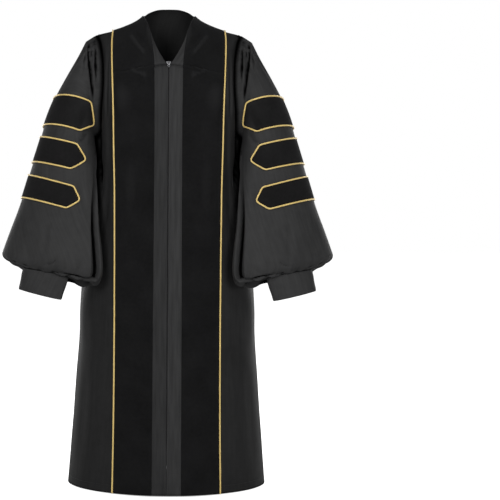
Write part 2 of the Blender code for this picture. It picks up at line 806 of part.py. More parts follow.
def front_piping(front):
    """Middle line of the piping beside a velvet panel."""
    line = []
    for i, row in enumerate(front):
        width = (row[PIPING_COLUMN + 1][0] - row[PIPING_COLUMN][0]).length
        point, normal = on_grid(front, i, PIPING_COLUMN + (PIPING_RADIUS + SEAM_GAP) / width)
        line.append(point + normal * (PIPING_RADIUS + LAYER_GAP))
    return line


def build():
    """The whole gown."""
    for old in list(bpy.data.objects):
        bpy.data.objects.remove(old)
    collection = bpy.data.collections.new("doctoral_gown")
    cutters = bpy.data.collections.new("joined_shapes")
    for made in (collection, cutters):
        bpy.context.scene.collection.children.link(made)
    holder = bpy.data.objects.new("gown_origin", None)
    collection.objects.link(holder)

    front = grid_of(front_columns, -SEAM_GAP / 2)
    back = grid_of(back_columns, SEAM_GAP / 2)
    hem, side = len(front) - 1, len(front[0]) - 1
    seam, under, edge = CHEST_SEAM_ROW, UNDER_VELVET_COLUMN, VELVET_COLUMN
    add_object("back", wall_mesh("back", back, CLOTH), "cloth", holder, collection)
    for name, rows, columns, seams in (
        ("front", (0, hem), (under, side), ("inner",)),
        ("placket", (seam, hem), (0, under), ("top", "outer")),
        ("neck_facing", (0, seam), (0, under), ("bottom", "outer")),
    ):
        add_both(name, part_of(front, rows, columns, seams), CLOTH, "cloth", holder, collection)

    over = moved_out(front, LAYER_GAP + VELVET)
    for name, rows, seams in (
        ("velvet_front", (seam, hem), ("top",)),
        ("velvet_yoke", (0, seam), ("bottom",)),
    ):
        grid = part_of(over, rows, (edge, PIPING_COLUMN), seams)
        add_both(name, grid, VELVET, "velvet", holder, collection)
    add_cords("piping_front", front_piping(front), PIPING_RADIUS, False, 1, holder, collection)

    turns = ring_turns()
    sleeve = sleeve_grid(armhole_edge(front, back), turns, range(len(SLEEVE) + 1))
    add_both("sleeve", sleeve, CLOTH, "cloth", holder, collection, ring=True)
    add_both("cuff", cuff_grid(), CLOTH, "cloth", holder, collection, ring=True)
    for k, bar in enumerate(BARS, start=1):
        add_both(f"bar_{k}", bar_grid(sleeve, turns, bar), VELVET, "velvet", holder, collection)
        outline = bar_outline(sleeve, turns, bar)
        add_cords(f"bar_piping_{k}", outline, BAR_PIPING_RADIUS, True, 0, holder, collection)

    add_both("zip_tape", tape_grid(front), TAPE, "zip_tape", holder, collection)
    add_slider(holder, collection, cutters)


if __name__ == "__main__":
    build()
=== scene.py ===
"""Looks of a doctoral gown that is filled out as it is worn, with nobody inside.

Metres, +Z up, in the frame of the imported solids. The gown faces -Y, and its left side is at +X,
which is on the right of someone who looks at its front. The origin is midway between the
shoulders, level with the side neck points.
"""

import logging
import math
from dataclasses import dataclass, field
from enum import Enum

import bmesh
import bpy
import numpy as np
from mathutils import Matrix, Vector
from mathutils.kdtree import KDTree


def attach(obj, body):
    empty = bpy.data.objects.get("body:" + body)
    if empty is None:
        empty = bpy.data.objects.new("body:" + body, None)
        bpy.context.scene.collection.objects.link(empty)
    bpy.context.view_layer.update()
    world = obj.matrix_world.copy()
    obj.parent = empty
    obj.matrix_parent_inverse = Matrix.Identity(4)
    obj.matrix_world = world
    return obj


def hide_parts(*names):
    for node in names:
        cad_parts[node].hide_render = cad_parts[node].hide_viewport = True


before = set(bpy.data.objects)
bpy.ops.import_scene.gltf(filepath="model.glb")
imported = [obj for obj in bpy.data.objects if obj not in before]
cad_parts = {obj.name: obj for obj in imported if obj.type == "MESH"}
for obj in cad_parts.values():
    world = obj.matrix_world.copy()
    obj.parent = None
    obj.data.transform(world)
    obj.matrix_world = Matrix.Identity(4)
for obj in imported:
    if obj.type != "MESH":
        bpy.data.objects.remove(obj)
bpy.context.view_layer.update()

LOG = logging.getLogger("gown")

# Cloth and seams, in metres
CLOTH = 0.0016
VELVET = 0.0018
LAYER_GAP = 0.0005
SEAM_GAP = 0.0004
PIPING_RADIUS = 0.0022
BAR_PIPING_RADIUS = 0.0023
BAR_LAYER_GAP = 0.0014

# Rows and columns on each side of a point that its depth in a fold is measured against, for painted shade and
# light
HOLLOW_REACH = (4, 8)


class Side(Enum):
    """The gown's two sides, with the sign of X on each."""

    LEFT = 1
    RIGHT = -1

    @property
    def word(self) -> str:
        """The side's name as it stands in the names of pieces."""
        return self.name.lower()

    @property
    def flip(self) -> np.ndarray:
        """What a point or a direction of the left side is multiplied by."""
        return np.array((self.value, 1.0, 1.0))


class Edge(Enum):
    """The edges of a grid, as the axis that crosses it and the end at which it lies."""

    TOP = (0, 0)
    BOTTOM = (0, -1)
    INNER = (1, 0)
    OUTER = (1, -1)


class Hold(Enum):
    """How a sheet of cloth is held."""

    HUNG = "hung"
    GATHERED = "gathered"
    LAID = "laid"


@dataclass(frozen=True)
class Curve:
    """A table of numbers by height or place, read on a smooth curve through its rows."""

    rows: tuple[tuple[float, ...], ...]

    def at(self, column: int, where: np.ndarray | float) -> np.ndarray:
        """The value of a column.

        Args:
            column: which column of the table is read.
            where: values of the first column.

        Returns:
            The column's value at each of them.
        """
        table = np.array(sorted(self.rows), float)
        marks, values = table[:, 0], table[:, column]
        where = np.clip(np.asarray(where, float), marks[0], marks[-1])
        k = np.clip(np.searchsorted(marks, where, side="right") - 1, 0, len(marks) - 2)
        low = np.maximum(np.arange(len(marks)) - 1, 0)
        high = np.minimum(np.arange(len(marks)) + 1, len(marks) - 1)
        slopes = (values[high] - values[low]) / (marks[high] - marks[low])
        span = marks[k + 1] - marks[k]
        t = (where - marks[k]) / span
        return (
            (2 * t**3 - 3 * t**2 + 1) * values[k]
            + (t**3 - 2 * t**2 + t) * span * slopes[k]
            + (3 * t**2 - 2 * t**3) * values[k + 1]
            + (t**3 - t**2) * span * slopes[k + 1]
        )


def ease(t: np.ndarray | float) -> np.ndarray:
    """0 to 1, level at both ends."""
    t = np.clip(t, 0.0, 1.0)
    return t * t * (3 - 2 * t)


def trough(offset: np.ndarray, half_width: float) -> np.ndarray:
    """1 in the middle of a fold, falling smoothly to 0 at its edges."""
    return np.clip(1 - (offset / half_width) ** 2, 0.0, 1.0) ** 2


def packed(parts: int, closeness: float = 0.85) -> np.ndarray:
    """Shares from 0 to 1 that lie closer together at both ends."""
    t = np.linspace(0.0, 1.0, parts + 1)
    return t - closeness * np.sin(2 * math.pi * t) / (2 * math.pi)


def unit(vectors: np.ndarray) -> np.ndarray:
    """The vectors at length 1."""
    return vectors / np.maximum(np.linalg.norm(vectors, axis=-1, keepdims=True), 1e-12)


def stacked(x: np.ndarray, y: np.ndarray, z: np.ndarray) -> np.ndarray:
    """Points from their coordinates."""
    return np.stack(np.broadcast_arrays(x, y, z), axis=-1)


def matched(*values: np.ndarray | float) -> list[np.ndarray]:
    """The values as arrays of one shape."""
    return np.broadcast_arrays(*(np.asarray(value, float) for value in values))


def half_turned(turn: np.ndarray) -> np.ndarray:
    """The turn as it lies between -180 and 180."""
    return (turn + 180) % 360 - 180


def softened(points: np.ndarray, times: int) -> np.ndarray:
    """A closed line with its corners smoothed."""
    for _ in range(times):
        points = points / 2 + (np.roll(points, 1, axis=0) + np.roll(points, -1, axis=0)) / 4
    return points


@dataclass(frozen=True)
class Grid:
    """The outer face of a sheet: points by row and column, and the way out of the cloth at each."""

    points: np.ndarray
    normals: np.ndarray

    def moved_out(self, distance: float | np.ndarray) -> "Grid":
        """The grid moved along its normals, by one distance or one for each point."""
        return Grid(self.points + self.normals * np.asarray(distance)[..., None], self.normals)

    def on(self, side: Side) -> "Grid":
        """The grid on a side, from one that was made for the left."""
        if side is Side.LEFT:
            return self
        return Grid(self.points[:, ::-1] * side.flip, self.normals[:, ::-1] * side.flip)

    def row(self, k: int) -> "Grid":
        """One row, as a line on the cloth."""
        return Grid(self.points[k], self.normals[k])

    def column(self, k: int) -> "Grid":
        """One column, as a line on the cloth."""
        return Grid(self.points[:, k], self.normals[:, k])

    def part(self, rows: tuple[int, int], columns: tuple[int, int]) -> "Grid":
        """The rows and columns from the first to the last of each pair."""
        cut = (slice(rows[0], rows[1] + 1), slice(columns[0], columns[1] + 1))
        return Grid(self.points[cut], self.normals[cut])

    def from_edge(self, edge: Edge) -> np.ndarray:
        """How far each point is from an edge, along the cloth."""
        axis, end = edge.value
        steps = np.linalg.norm(np.diff(self.points, axis=axis), axis=-1)
        along = np.concatenate([np.zeros_like(steps.take([0], axis)), np.cumsum(steps, axis)], axis)
        return along if end == 0 else along.take([-1], axis) - along

    def drawn_in(self, *edges: Edge) -> "Grid":
        """The grid with half a seam's gap left along the named edges."""
        points = self.points.copy()
        for edge in edges:
            axis, end = edge.value
            lines = np.moveaxis(points, axis, 0)
            first, second = (0, 1) if end == 0 else (-1, -2)
            lines[first] += unit(lines[second] - lines[first]) * SEAM_GAP / 2
        return Grid(points, self.normals)

    def rolled(self, depth: float, reach: float, *edges: Edge) -> "Grid":
        """The grid with its cloth turned in along the named edges.

        Args:
            depth: how far an edge sinks.
            reach: how far from the edge the cloth begins to sink.
            edges: the edges that sink.

        Returns:
            The rolled grid.
        """
        near = np.minimum.reduce([self.from_edge(edge) for edge in edges])
        return self.moved_out(-depth * np.clip(1 - near / reach, 0.0, 1.0) ** 2)

    def at(self, rows: np.ndarray, columns: np.ndarray) -> "Grid":
        """Points and normals at places between the grid's own points."""
        i = np.clip(rows.astype(int), 0, self.points.shape[0] - 2)
        j = np.clip(columns.astype(int), 0, self.points.shape[1] - 2)
        down, over = (rows - i)[..., None], (columns - j)[..., None]

        def blended(values: np.ndarray) -> np.ndarray:
            """The values between four neighbours."""
            upper = values[i, j] * (1 - over) + values[i, j + 1] * over
            lower = values[i + 1, j] * (1 - over) + values[i + 1, j + 1] * over
            return upper * (1 - down) + lower * down

        return Grid(blended(self.points), unit(blended(self.normals)))


@dataclass(frozen=True)
class Crease:
    """A soft line in the cloth, seen from the front: a trough where its depth is above 0, else a ridge."""

    path: tuple[tuple[float, float], ...]
    half_width: float
    depth: float
    at_back: bool = False
    both_sides: bool = True

    def sunk(self, points: np.ndarray, normals: np.ndarray) -> np.ndarray:
        """How far the cloth sinks at each point."""
        x = np.abs(points[..., 0]) if self.both_sides else points[..., 0]
        z = points[..., 2]
        best = np.full(x.shape, 1e9)
        along = np.zeros(x.shape)
        total = 0.0
        for (x0, z0), (x1, z1) in zip(self.path, self.path[1:]):
            run = math.hypot(x1 - x0, z1 - z0)
            t = np.clip(((x - x0) * (x1 - x0) + (z - z0) * (z1 - z0)) / run**2, 0.0, 1.0)
            away = np.hypot(x - x0 - t * (x1 - x0), z - z0 - t * (z1 - z0))
            along = np.where(away < best, total + t * run, along)
            best = np.minimum(best, away)
            total += run
        taper = ease(along / total / 0.35) * ease((1 - along / total) / 0.35)
        facing = ease(normals[..., 1] * (3 if self.at_back else -3))
        return self.depth * trough(best, self.half_width) * taper * facing


# The line that the gown's top edge makes from the middle of the back neck out along a shoulder
TOP_LINE = Curve((
    # x, height
    (0.0000, 0.0285),
    (0.0320, 0.0260),
    (0.0600, 0.0135),
    (0.0735, 0.0000),
    (0.0827, -0.0087),
    (0.0955, -0.0173),
    (0.1127, -0.0260),
    (0.1340, -0.0347),
    (0.1605, -0.0434),
    (0.1950, -0.0520),
    (0.2200, -0.0600),
))

# Sections of the body. A square of 1 is an ellipse, and less is boxier.
BODY = Curve((
    # height, half_width, front, back, square
    (0.000, 0.2400, 0.118, 0.100, 0.80),
    (-0.100, 0.2300, 0.122, 0.108, 0.80),
    (-0.200, 0.2200, 0.133, 0.116, 0.82),
    (-0.300, 0.2100, 0.139, 0.122, 0.86),
    (-0.450, 0.2142, 0.142, 0.126, 0.92),
    (-0.600, 0.2300, 0.144, 0.132, 0.96),
    (-0.720, 0.2450, 0.147, 0.139, 1.00),
    (-0.820, 0.2512, 0.151, 0.146, 1.00),
    (-0.890, 0.2525, 0.154, 0.151, 1.00),
    (-1.030, 0.2620, 0.162, 0.162, 1.00),
    (-1.170, 0.2710, 0.171, 0.175, 1.00),
    (-1.340, 0.2826, 0.183, 0.190, 1.00),
))

# Neckline of a front, from the side neck point down to the zip
NECKLINE = Curve((
    # height, x
    (-0.1600, 0.0011),
    (-0.1550, 0.0030),
    (-0.1400, 0.0125),
    (-0.1110, 0.0292),
    (-0.0810, 0.0430),
    (-0.0557, 0.0517),
    (-0.0293, 0.0612),
    (0.0000, 0.0735),
))

# The outer edge of a velvet panel, where its piping runs
PIPING_LINE = Curve((
    # height, x
    (-1.3400, 0.1485),
    (-1.1100, 0.1463),
    (-0.8200, 0.1467),
    (-0.5300, 0.1485),
    (-0.3900, 0.1515),
    (-0.2500, 0.1545),
    (-0.1400, 0.1598),
    (-0.0750, 0.1622),
    (-0.0434, 0.1608),
))

# The inner edge of a velvet panel. Above its last row it follows the neckline.
VELVET_EDGE = Curve((
    # height, x
    (-1.3400, 0.0405),
    (-0.9000, 0.0400),
    (-0.1550, 0.0404),
    (-0.0600, 0.0512),
))

# The armhole, as a share of the way from shoulder to armpit
ARMHOLE = Curve((
    # share, front_x, back_x
    (0.00, 0.2080, 0.2080),
    (0.10, 0.1975, 0.1995),
    (0.30, 0.1870, 0.1920),
    (0.55, 0.1850, 0.1900),
    (0.80, 0.1930, 0.1960),
    (0.95, 0.2052, 0.2056),
    (1.00, 0.2099, 0.2099),
))

# Soft vertical folds of the body. Turn 0 is the middle front and 180 the middle back.
BODY_FOLDS = (
    # turn, top, bottom, half_width in degrees, depth
    (52.0, -0.14, -0.80, 5.0, 0.006),
    (122.0, -0.30, -1.34, 9.0, 0.012),
    (148.0, -0.26, -1.34, 9.0, 0.014),
    (174.0, -0.28, -1.34, 9.0, 0.013),
)

# Smaller creases of the body: those of the front are where the photograph shows them
BODY_CREASES = (
    # soft diagonals in the velvet above and below the chest seam
    Crease(((0.116, -0.052), (0.093, -0.085), (0.060, -0.130)), 0.012, -0.0055),
    Crease(((0.100, -0.046), (0.080, -0.078), (0.058, -0.110)), 0.010, 0.0045),
    Crease(((0.130, -0.090), (0.105, -0.125), (0.074, -0.150)), 0.011, 0.0036),
    Crease(((0.112, -0.160), (0.088, -0.174), (0.058, -0.184)), 0.010, -0.0040),
    Crease(((0.118, -0.182), (0.090, -0.196), (0.062, -0.202)), 0.012, 0.0030),
    # folds beside the armhole
    Crease(((0.178, -0.085), (0.177, -0.190), (0.180, -0.310)), 0.007, -0.0034),
    Crease(((0.170, -0.100), (0.168, -0.200), (0.169, -0.330)), 0.006, -0.0028),
    Crease(((0.174, -0.090), (0.172, -0.200), (0.174, -0.320)), 0.005, 0.0026),
    Crease(((0.188, -0.330), (0.182, -0.420), (0.180, -0.500)), 0.010, 0.0022),
    Crease(((0.171, -0.520), (0.173, -0.565), (0.172, -0.615)), 0.006, 0.0026),
    # the dark fold under the sleeve, then long soft lines of the side
    Crease(
        ((0.194, -0.240), (0.201, -0.320), (0.201, -0.400), (0.196, -0.465), (0.186, -0.540)),
        0.013, 0.0160,
    ),
    Crease(((0.205, -0.770), (0.209, -0.815), (0.211, -0.880)), 0.010, 0.0040),
    Crease(((0.236, -0.760), (0.240, -0.860), (0.240, -0.960)), 0.012, -0.0022),
    Crease(((0.180, -0.640), (0.186, -0.860), (0.196, -1.100)), 0.016, 0.0018),
    Crease(((0.226, -0.980), (0.236, -1.140), (0.246, -1.330)), 0.014, 0.0022),
    Crease(((0.165, -0.900), (0.168, -1.080), (0.176, -1.330)), 0.016, 0.0014),
    # the back: creases that run in from the armholes, and between the flutes
    *(Crease(*row, at_back=True) for row in (
        (((0.186, -0.130), (0.150, -0.180), (0.105, -0.215)), 0.014, 0.0024),
        (((0.188, -0.190), (0.155, -0.225), (0.120, -0.245)), 0.012, 0.0018),
        (((0.184, -0.270), (0.160, -0.310), (0.140, -0.380)), 0.014, 0.0022),
        (((0.072, -0.020), (0.060, -0.070), (0.035, -0.110)), 0.012, 0.0014),
        (((0.095, -0.300), (0.102, -0.620), (0.112, -1.000)), 0.014, 0.0026),
    )),
    Crease(((0.050, -0.480), (0.052, -0.800), (0.060, -1.200)), 0.013, 0.0022, True, both_sides=False),
    Crease(((-0.042, -0.400), (-0.048, -0.700), (-0.050, -1.050)), 0.012, 0.0026, True, both_sides=False),
    Crease(((0.205, -0.560), (0.208, -0.800), (0.222, -1.100)), 0.014, 0.0020, at_back=True),
)

# Rows of the body, as steps round the armhole and then as heights at the side
ARMHOLE_STEPS = (0.00, 0.11, 0.22, 0.33, 0.44, 0.54, 0.64, 0.74, 0.84, 0.93, 1.00)
BODY_ROWS_BELOW = (-0.40, -0.49, -0.59, -0.69, -0.79, -0.90, -1.01, -1.12, -1.23, -1.34)
CHEST_SEAM_ROW = 5
ARMPIT_ROW = 10
ZIP_END_ROW = 19
HEM_ROW = 20


@dataclass(frozen=True)
class BodyForm:
    """The surface that the body of the gown hangs in, with its folds and creases."""

    length: float = 1.340
    neck_half: float = 0.0735
    neck_back: float = 0.062
    armpit_drop: float = 0.300
    front_rounding: float = 0.240
    back_rounding: float = 0.190
    neck_margin: float = 0.0004
    front_fullness: float = 0.75
    back_fullness: float = 0.65
    seam_lift: float = 0.050
    seam_lift_reach: float = 0.03
    closing: float = 0.0009
    closing_start: float = 0.022
    closing_run: float = 0.02
    valley: float = 0.0150
    valley_reach: float = 0.016
    fine_above: int = 6
    fine_below: int = 15
    band_parts: tuple[int, ...] = (10, 7, 20, 26)
    back_parts: int = 132

    def height(self, x: np.ndarray | float, share: np.ndarray | float) -> np.ndarray:
        """Height of a point that lies this share of the way from the top edge down to the hem."""
        return TOP_LINE.at(1, np.abs(x)) * (1 - share) - self.length * share

    def folds(self, turn: np.ndarray, height: np.ndarray) -> np.ndarray:
        """How far the cloth sinks into the body's folds."""
        sunk = np.zeros(np.broadcast(turn, height).shape)
        for at, top, bottom, half_width, depth in BODY_FOLDS:
            fade = ease((top - height) / 0.25)
            if bottom > -self.length:
                fade = fade * ease((height - bottom) / 0.20)
            sunk += depth * fade * trough(np.abs(turn) - at, half_width)
        return sunk

    def point(self, turn: np.ndarray | float, share: np.ndarray | float) -> np.ndarray:
        """Points of the outer face. Turn 0 is the middle front and 180 the middle back."""
        turn, share = matched(turn, share)
        turn = np.where(turn > 180, turn - 360, turn)
        level, angle = -self.length * share, np.radians(turn)
        side, ahead = np.sin(angle), np.cos(angle)
        x = BODY.at(1, level) * side
        z = self.height(x, share)
        drop = np.maximum(TOP_LINE.at(1, np.abs(x)) - z, 0.0)
        reach = np.abs(ahead) ** BODY.at(4, level)
        sunk = self.folds(turn, z)
        rest = self.neck_back * np.sqrt(np.maximum(0.0, 1 - (x / self.neck_half) ** 2))
        front = -(BODY.at(2, level) - sunk) * reach
        back = (BODY.at(3, level) - sunk) * reach
        round_front = (1 - (1 - np.minimum(drop / self.front_rounding, 1)) ** 2) ** self.front_fullness
        round_back = (1 - (1 - np.minimum(drop / self.back_rounding, 1)) ** 2) ** self.back_fullness
        return stacked(x, np.where(ahead > 0, front * round_front, rest + (back - rest) * round_back), z)

    def normal(self, turn: np.ndarray, share: np.ndarray) -> np.ndarray:
        """Which way is out of the cloth."""
        turn, share = matched(turn, share)
        turn = np.where(turn > 180, turn - 360, turn)
        step, down, beside = 1.0, 0.004, 0.004
        held = np.maximum(share, down)
        across = self.point(turn + step, held) - self.point(turn - step, held)
        along = self.point(turn, np.minimum(held + down, 1.0)) - self.point(turn, held - down)
        out = unit(np.cross(along, across))
        x = self.point(turn, share)[..., 0]
        lean = TOP_LINE.at(1, np.abs(x) - beside) - TOP_LINE.at(1, np.abs(x) + beside)
        over_neck = (np.abs(turn) > 90) & (np.abs(x) < self.neck_half)
        back = np.where(over_neck, 3.0 * np.sqrt(np.maximum(0.0, 1 - (x / self.neck_half) ** 2)), 0.0)
        upward = unit(stacked(np.sign(x) * lean / (2 * beside), back, np.ones_like(x)))
        t = np.clip(share / down, 0.0, 1.0)[..., None]
        return unit(upward * (1 - t) + out * t)

    def turn_at(self, x: np.ndarray, share: np.ndarray, back: bool = False) -> np.ndarray:
        """The turn at which a section reaches this x."""
        turn = np.degrees(np.arcsin(np.clip(x / BODY.at(1, -self.length * share), -1.0, 1.0)))
        return 180 - turn if back else turn

    def armhole_share(self, step: np.ndarray | float) -> np.ndarray:
        """Share of the length at a step, which goes from 0 at the shoulder to 1 at the armpit."""
        return self.armpit_drop / (self.length - 0.06) * (1 - np.cos(math.pi * np.asarray(step))) / 2

    @property
    def armpit(self) -> float:
        """Share of the length at the armpit."""
        return self.armhole_share(1.0)

    def half_gap(self, column: int, share: np.ndarray) -> np.ndarray:
        """Half a seam's gap as a turn, beside the front (column 2) or the back (column 3) of the body."""
        return np.degrees(SEAM_GAP / 2 / BODY.at(column, -self.length * share))

    def shares(self) -> np.ndarray:
        """Shares of the length at which the fine grids have a row."""
        fine = np.linspace(0, ARMPIT_ROW, ARMPIT_ROW * self.fine_above + 1)
        above = self.armhole_share(np.interp(fine, np.arange(ARMPIT_ROW + 1), ARMHOLE_STEPS))
        marks = np.concatenate([above[-1:], np.array(BODY_ROWS_BELOW) / -self.length])
        parts = (len(marks) - 1) * self.fine_below
        below = np.interp(np.linspace(0, len(marks) - 1, parts + 1)[1:], np.arange(len(marks)), marks)
        return np.concatenate([above, below])

    def row(self, coarse: float) -> int:
        """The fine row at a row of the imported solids."""
        above = min(coarse, ARMPIT_ROW) * self.fine_above
        return round(above + max(coarse - ARMPIT_ROW, 0) * self.fine_below)

    def x_on_line(self, line: Curve, share: np.ndarray) -> np.ndarray:
        """x of a line that is given by height, where it crosses the rows."""
        x = np.full(np.shape(share), 0.1)
        for _ in range(8):
            x = line.at(1, self.height(x, share))
        return x

    def front_shares(self) -> np.ndarray:
        """Shares of a front's points by row and column, lifted beside the piping at the chest seam."""
        share = self.shares()
        seam, end = share[self.row(CHEST_SEAM_ROW)], self.armpit + self.seam_lift_reach
        near = np.where(share < seam, ease(share / seam), ease((end - share) / (end - seam)))
        columns = np.arange(self.column(4) + 1)
        lift = np.interp(columns, [self.column(k) for k in (1, 3, 4)], (0.0, self.seam_lift, 0.0))
        return share[:, None] - near[:, None] * lift[None, :] / self.length

    def front_turns(self, share: np.ndarray) -> np.ndarray:
        """Turns of a front's points: zip edge, velvet edge, under the velvet, piping, side."""
        zip_end = self.shares()[self.row(ZIP_END_ROW)]
        inner = self.x_on_line(NECKLINE, share)
        closed = ease((share - zip_end + self.closing_start) / self.closing_run)
        inner = inner - self.closing * closed
        velvet = np.maximum(self.x_on_line(VELVET_EDGE, share), inner + self.neck_margin)
        outer = self.x_on_line(PIPING_LINE, share) - PIPING_RADIUS - SEAM_GAP
        under = velvet + (outer - velvet) / 4
        armhole = ARMHOLE.at(1, share / self.armpit)
        below = share >= self.armpit - 1e-9
        last = np.where(below, 90.0 - self.half_gap(2, share), self.turn_at(armhole, share))
        turns = np.zeros(share.shape)
        for band, (start, end) in enumerate(((inner, velvet), (velvet, under), (under, outer))):
            cut = slice(self.column(band), self.column(band + 1) + 1)
            x = start[:, cut] + (end - start)[:, cut] * packed(self.band_parts[band])[None, :]
            turns[:, cut] = self.turn_at(x, share[:, cut])
        cut = slice(self.column(3), None)
        first = self.turn_at(outer, share)[:, cut]
        turns[:, cut] = first + (last[:, cut] - first) * packed(self.band_parts[3])[None, :]
        return turns

    def column(self, band: int) -> int:
        """The column at which a band of the front begins, from 0 at the zip edge to 4 at the side."""
        return sum(self.band_parts[:band])

    def back_turns(self) -> np.ndarray:
        """Turns of the back's points by row, from the left side round to the right."""
        share = self.shares()
        armhole = ARMHOLE.at(2, share / self.armpit)
        first = np.where(
            share >= self.armpit, 90.0 + self.half_gap(3, share), self.turn_at(armhole, share, back=True)
        )
        return first[:, None] + (360 - 2 * first)[:, None] * packed(self.back_parts, 0.7)[None, :]

    def ripple(self, points: np.ndarray) -> np.ndarray:
        """The slight unevenness of hanging cloth."""
        x, y, z = points[..., 0], points[..., 1], points[..., 2]
        slow = np.sin(41 * x + 6 * z + 0.7) * np.sin(17 * y - 9 * z + 1.9)
        quick = np.sin(93 * x - 11 * z + 2.3) * np.sin(58 * y + 21 * z + 0.4)
        return (0.0007 * slow + 0.0003 * quick) * ease(-z / 0.10)

    def grid(self, turns: np.ndarray, shares: np.ndarray, shift: float = 0.0) -> Grid:
        """Part of the body's outer face.

        Args:
            turns: turns of the points, by row and column.
            shares: shares of the length, by row, or by row and column.
            shift: how far the top row is moved along Y, for half a shoulder seam.

        Returns:
            The grid, sunk into every fold and crease.
        """
        share = np.broadcast_to(shares if shares.ndim == 2 else shares[:, None], turns.shape)
        points, normals = self.point(turns, share), self.normal(turns, share)
        points[..., 1] += np.where(share == 0.0, shift, 0.0)
        sunk = self.ripple(points) + sum(crease.sunk(points, normals) for crease in BODY_CREASES)
        return Grid(points - normals * sunk[..., None], normals)

    def sunk_at_armhole(self, grid: Grid, depth: float, *edges: Edge) -> Grid:
        """The grid with its cloth drawn in along the armhole's seam.

        Args:
            grid: a front or the back.
            depth: how far the cloth sinks at the seam.
            edges: the edges that the armhole is on.

        Returns:
            The grid with a soft valley along those edges.
        """
        step = self.shares() / self.armpit
        along = ease(step / 0.06) * ease((1.0 - step) / 0.25)
        near = np.minimum.reduce([grid.from_edge(edge) for edge in edges])
        sunk = depth * along[:, None] * np.clip(1 - near / self.valley_reach, 0.0, 1.0) ** 2
        points = grid.points.copy()
        points[..., 1] -= np.sign(grid.normals[..., 1]) * sunk
        return Grid(points, grid.normals)

    def front(self) -> Grid:
        """The left front with its placket and neck facing."""
        shares = self.front_shares()
        grid = self.grid(self.front_turns(shares), shares, -SEAM_GAP / 2)
        return self.sunk_at_armhole(grid, self.valley, Edge.OUTER)

    def back(self) -> Grid:
        """The whole back."""
        grid = self.grid(self.back_turns(), self.shares(), SEAM_GAP / 2)
        return self.sunk_at_armhole(grid, self.valley * 0.5, Edge.INNER, Edge.OUTER)


# Rings of a sleeve under its armhole: the outer line of the arm, then the inner one
SLEEVE = Curve(tuple((k + 1, *row) for k, row in enumerate((
    # outer x, y, height, inner x, y, height, half_depth, back_drop
    (0.2390, 0.000, -0.0760, 0.2110, -0.006, -0.3560, 0.074, 0.000),
    (0.2620, -0.001, -0.1210, 0.2102, -0.016, -0.3640, 0.076, 0.000),
    (0.2960, -0.003, -0.1820, 0.2082, -0.030, -0.3780, 0.076, 0.000),
    (0.3260, -0.006, -0.2430, 0.2048, -0.046, -0.3980, 0.073, 0.000),
    (0.3480, -0.010, -0.3020, 0.2040, -0.062, -0.4260, 0.069, 0.000),
    (0.3640, -0.014, -0.3620, 0.2015, -0.078, -0.4620, 0.064, 0.000),
    (0.3840, -0.018, -0.4280, 0.1990, -0.094, -0.5060, 0.060, 0.000),
    (0.4030, -0.022, -0.4900, 0.1955, -0.109, -0.5560, 0.057, 0.002),
    (0.4230, -0.028, -0.5550, 0.1910, -0.122, -0.6100, 0.056, 0.004),
    (0.4450, -0.034, -0.6150, 0.1840, -0.133, -0.6640, 0.056, 0.008),
    (0.4640, -0.040, -0.6680, 0.1790, -0.141, -0.7140, 0.055, 0.016),
    (0.4700, -0.044, -0.6900, 0.1820, -0.143, -0.7440, 0.050, 0.028),
    (0.4580, -0.047, -0.7040, 0.1980, -0.140, -0.7620, 0.042, 0.030),
    (0.4300, -0.066, -0.7140, 0.2420, -0.133, -0.7520, 0.032, 0.016),
    (0.4070, -0.086, -0.7219, 0.2710, -0.124, -0.7399, 0.023, 0.000),
))))
LAST_RING = 15

# Soft folds of a sleeve, as troughs that run down it. Turn 0 is its outer line, 90 its front.
SLEEVE_FOLDS = (
    # turn, first_ring, last_ring, half_width in degrees, depth
    (9.0, -0.6, 3.7, 8.9, 0.0055),
    (27.0, -0.6, 3.3, 8.9, 0.0040),
    (45.0, -0.6, 2.6, 8.9, 0.0020),
    (63.0, -0.6, 2.4, 8.9, 0.003),
    (-11.25, -0.6, 3.4, 11.0, 0.008),
    (-33.75, -0.6, 3.0, 11.0, 0.009),
    (-56.25, -0.6, 3.6, 11.0, 0.008),
    (-78.75, -0.6, 2.6, 11.0, 0.006),
    (-108.0, 9.4, 13.5, 18.0, 0.010),
    (-162.0, 5.0, 12.5, 18.0, 0.010),
)

# The deep fold of a sleeve beside the body, as turns at rings
GROOVE = Curve((
    # ring, turn
    (4.0, 178.0),
    (6.5, 174.0),
    (8.0, 167.0),
    (9.5, 162.0),
    (11.5, 159.0),
    (12.5, 160.0),
    (13.5, 164.0),
))

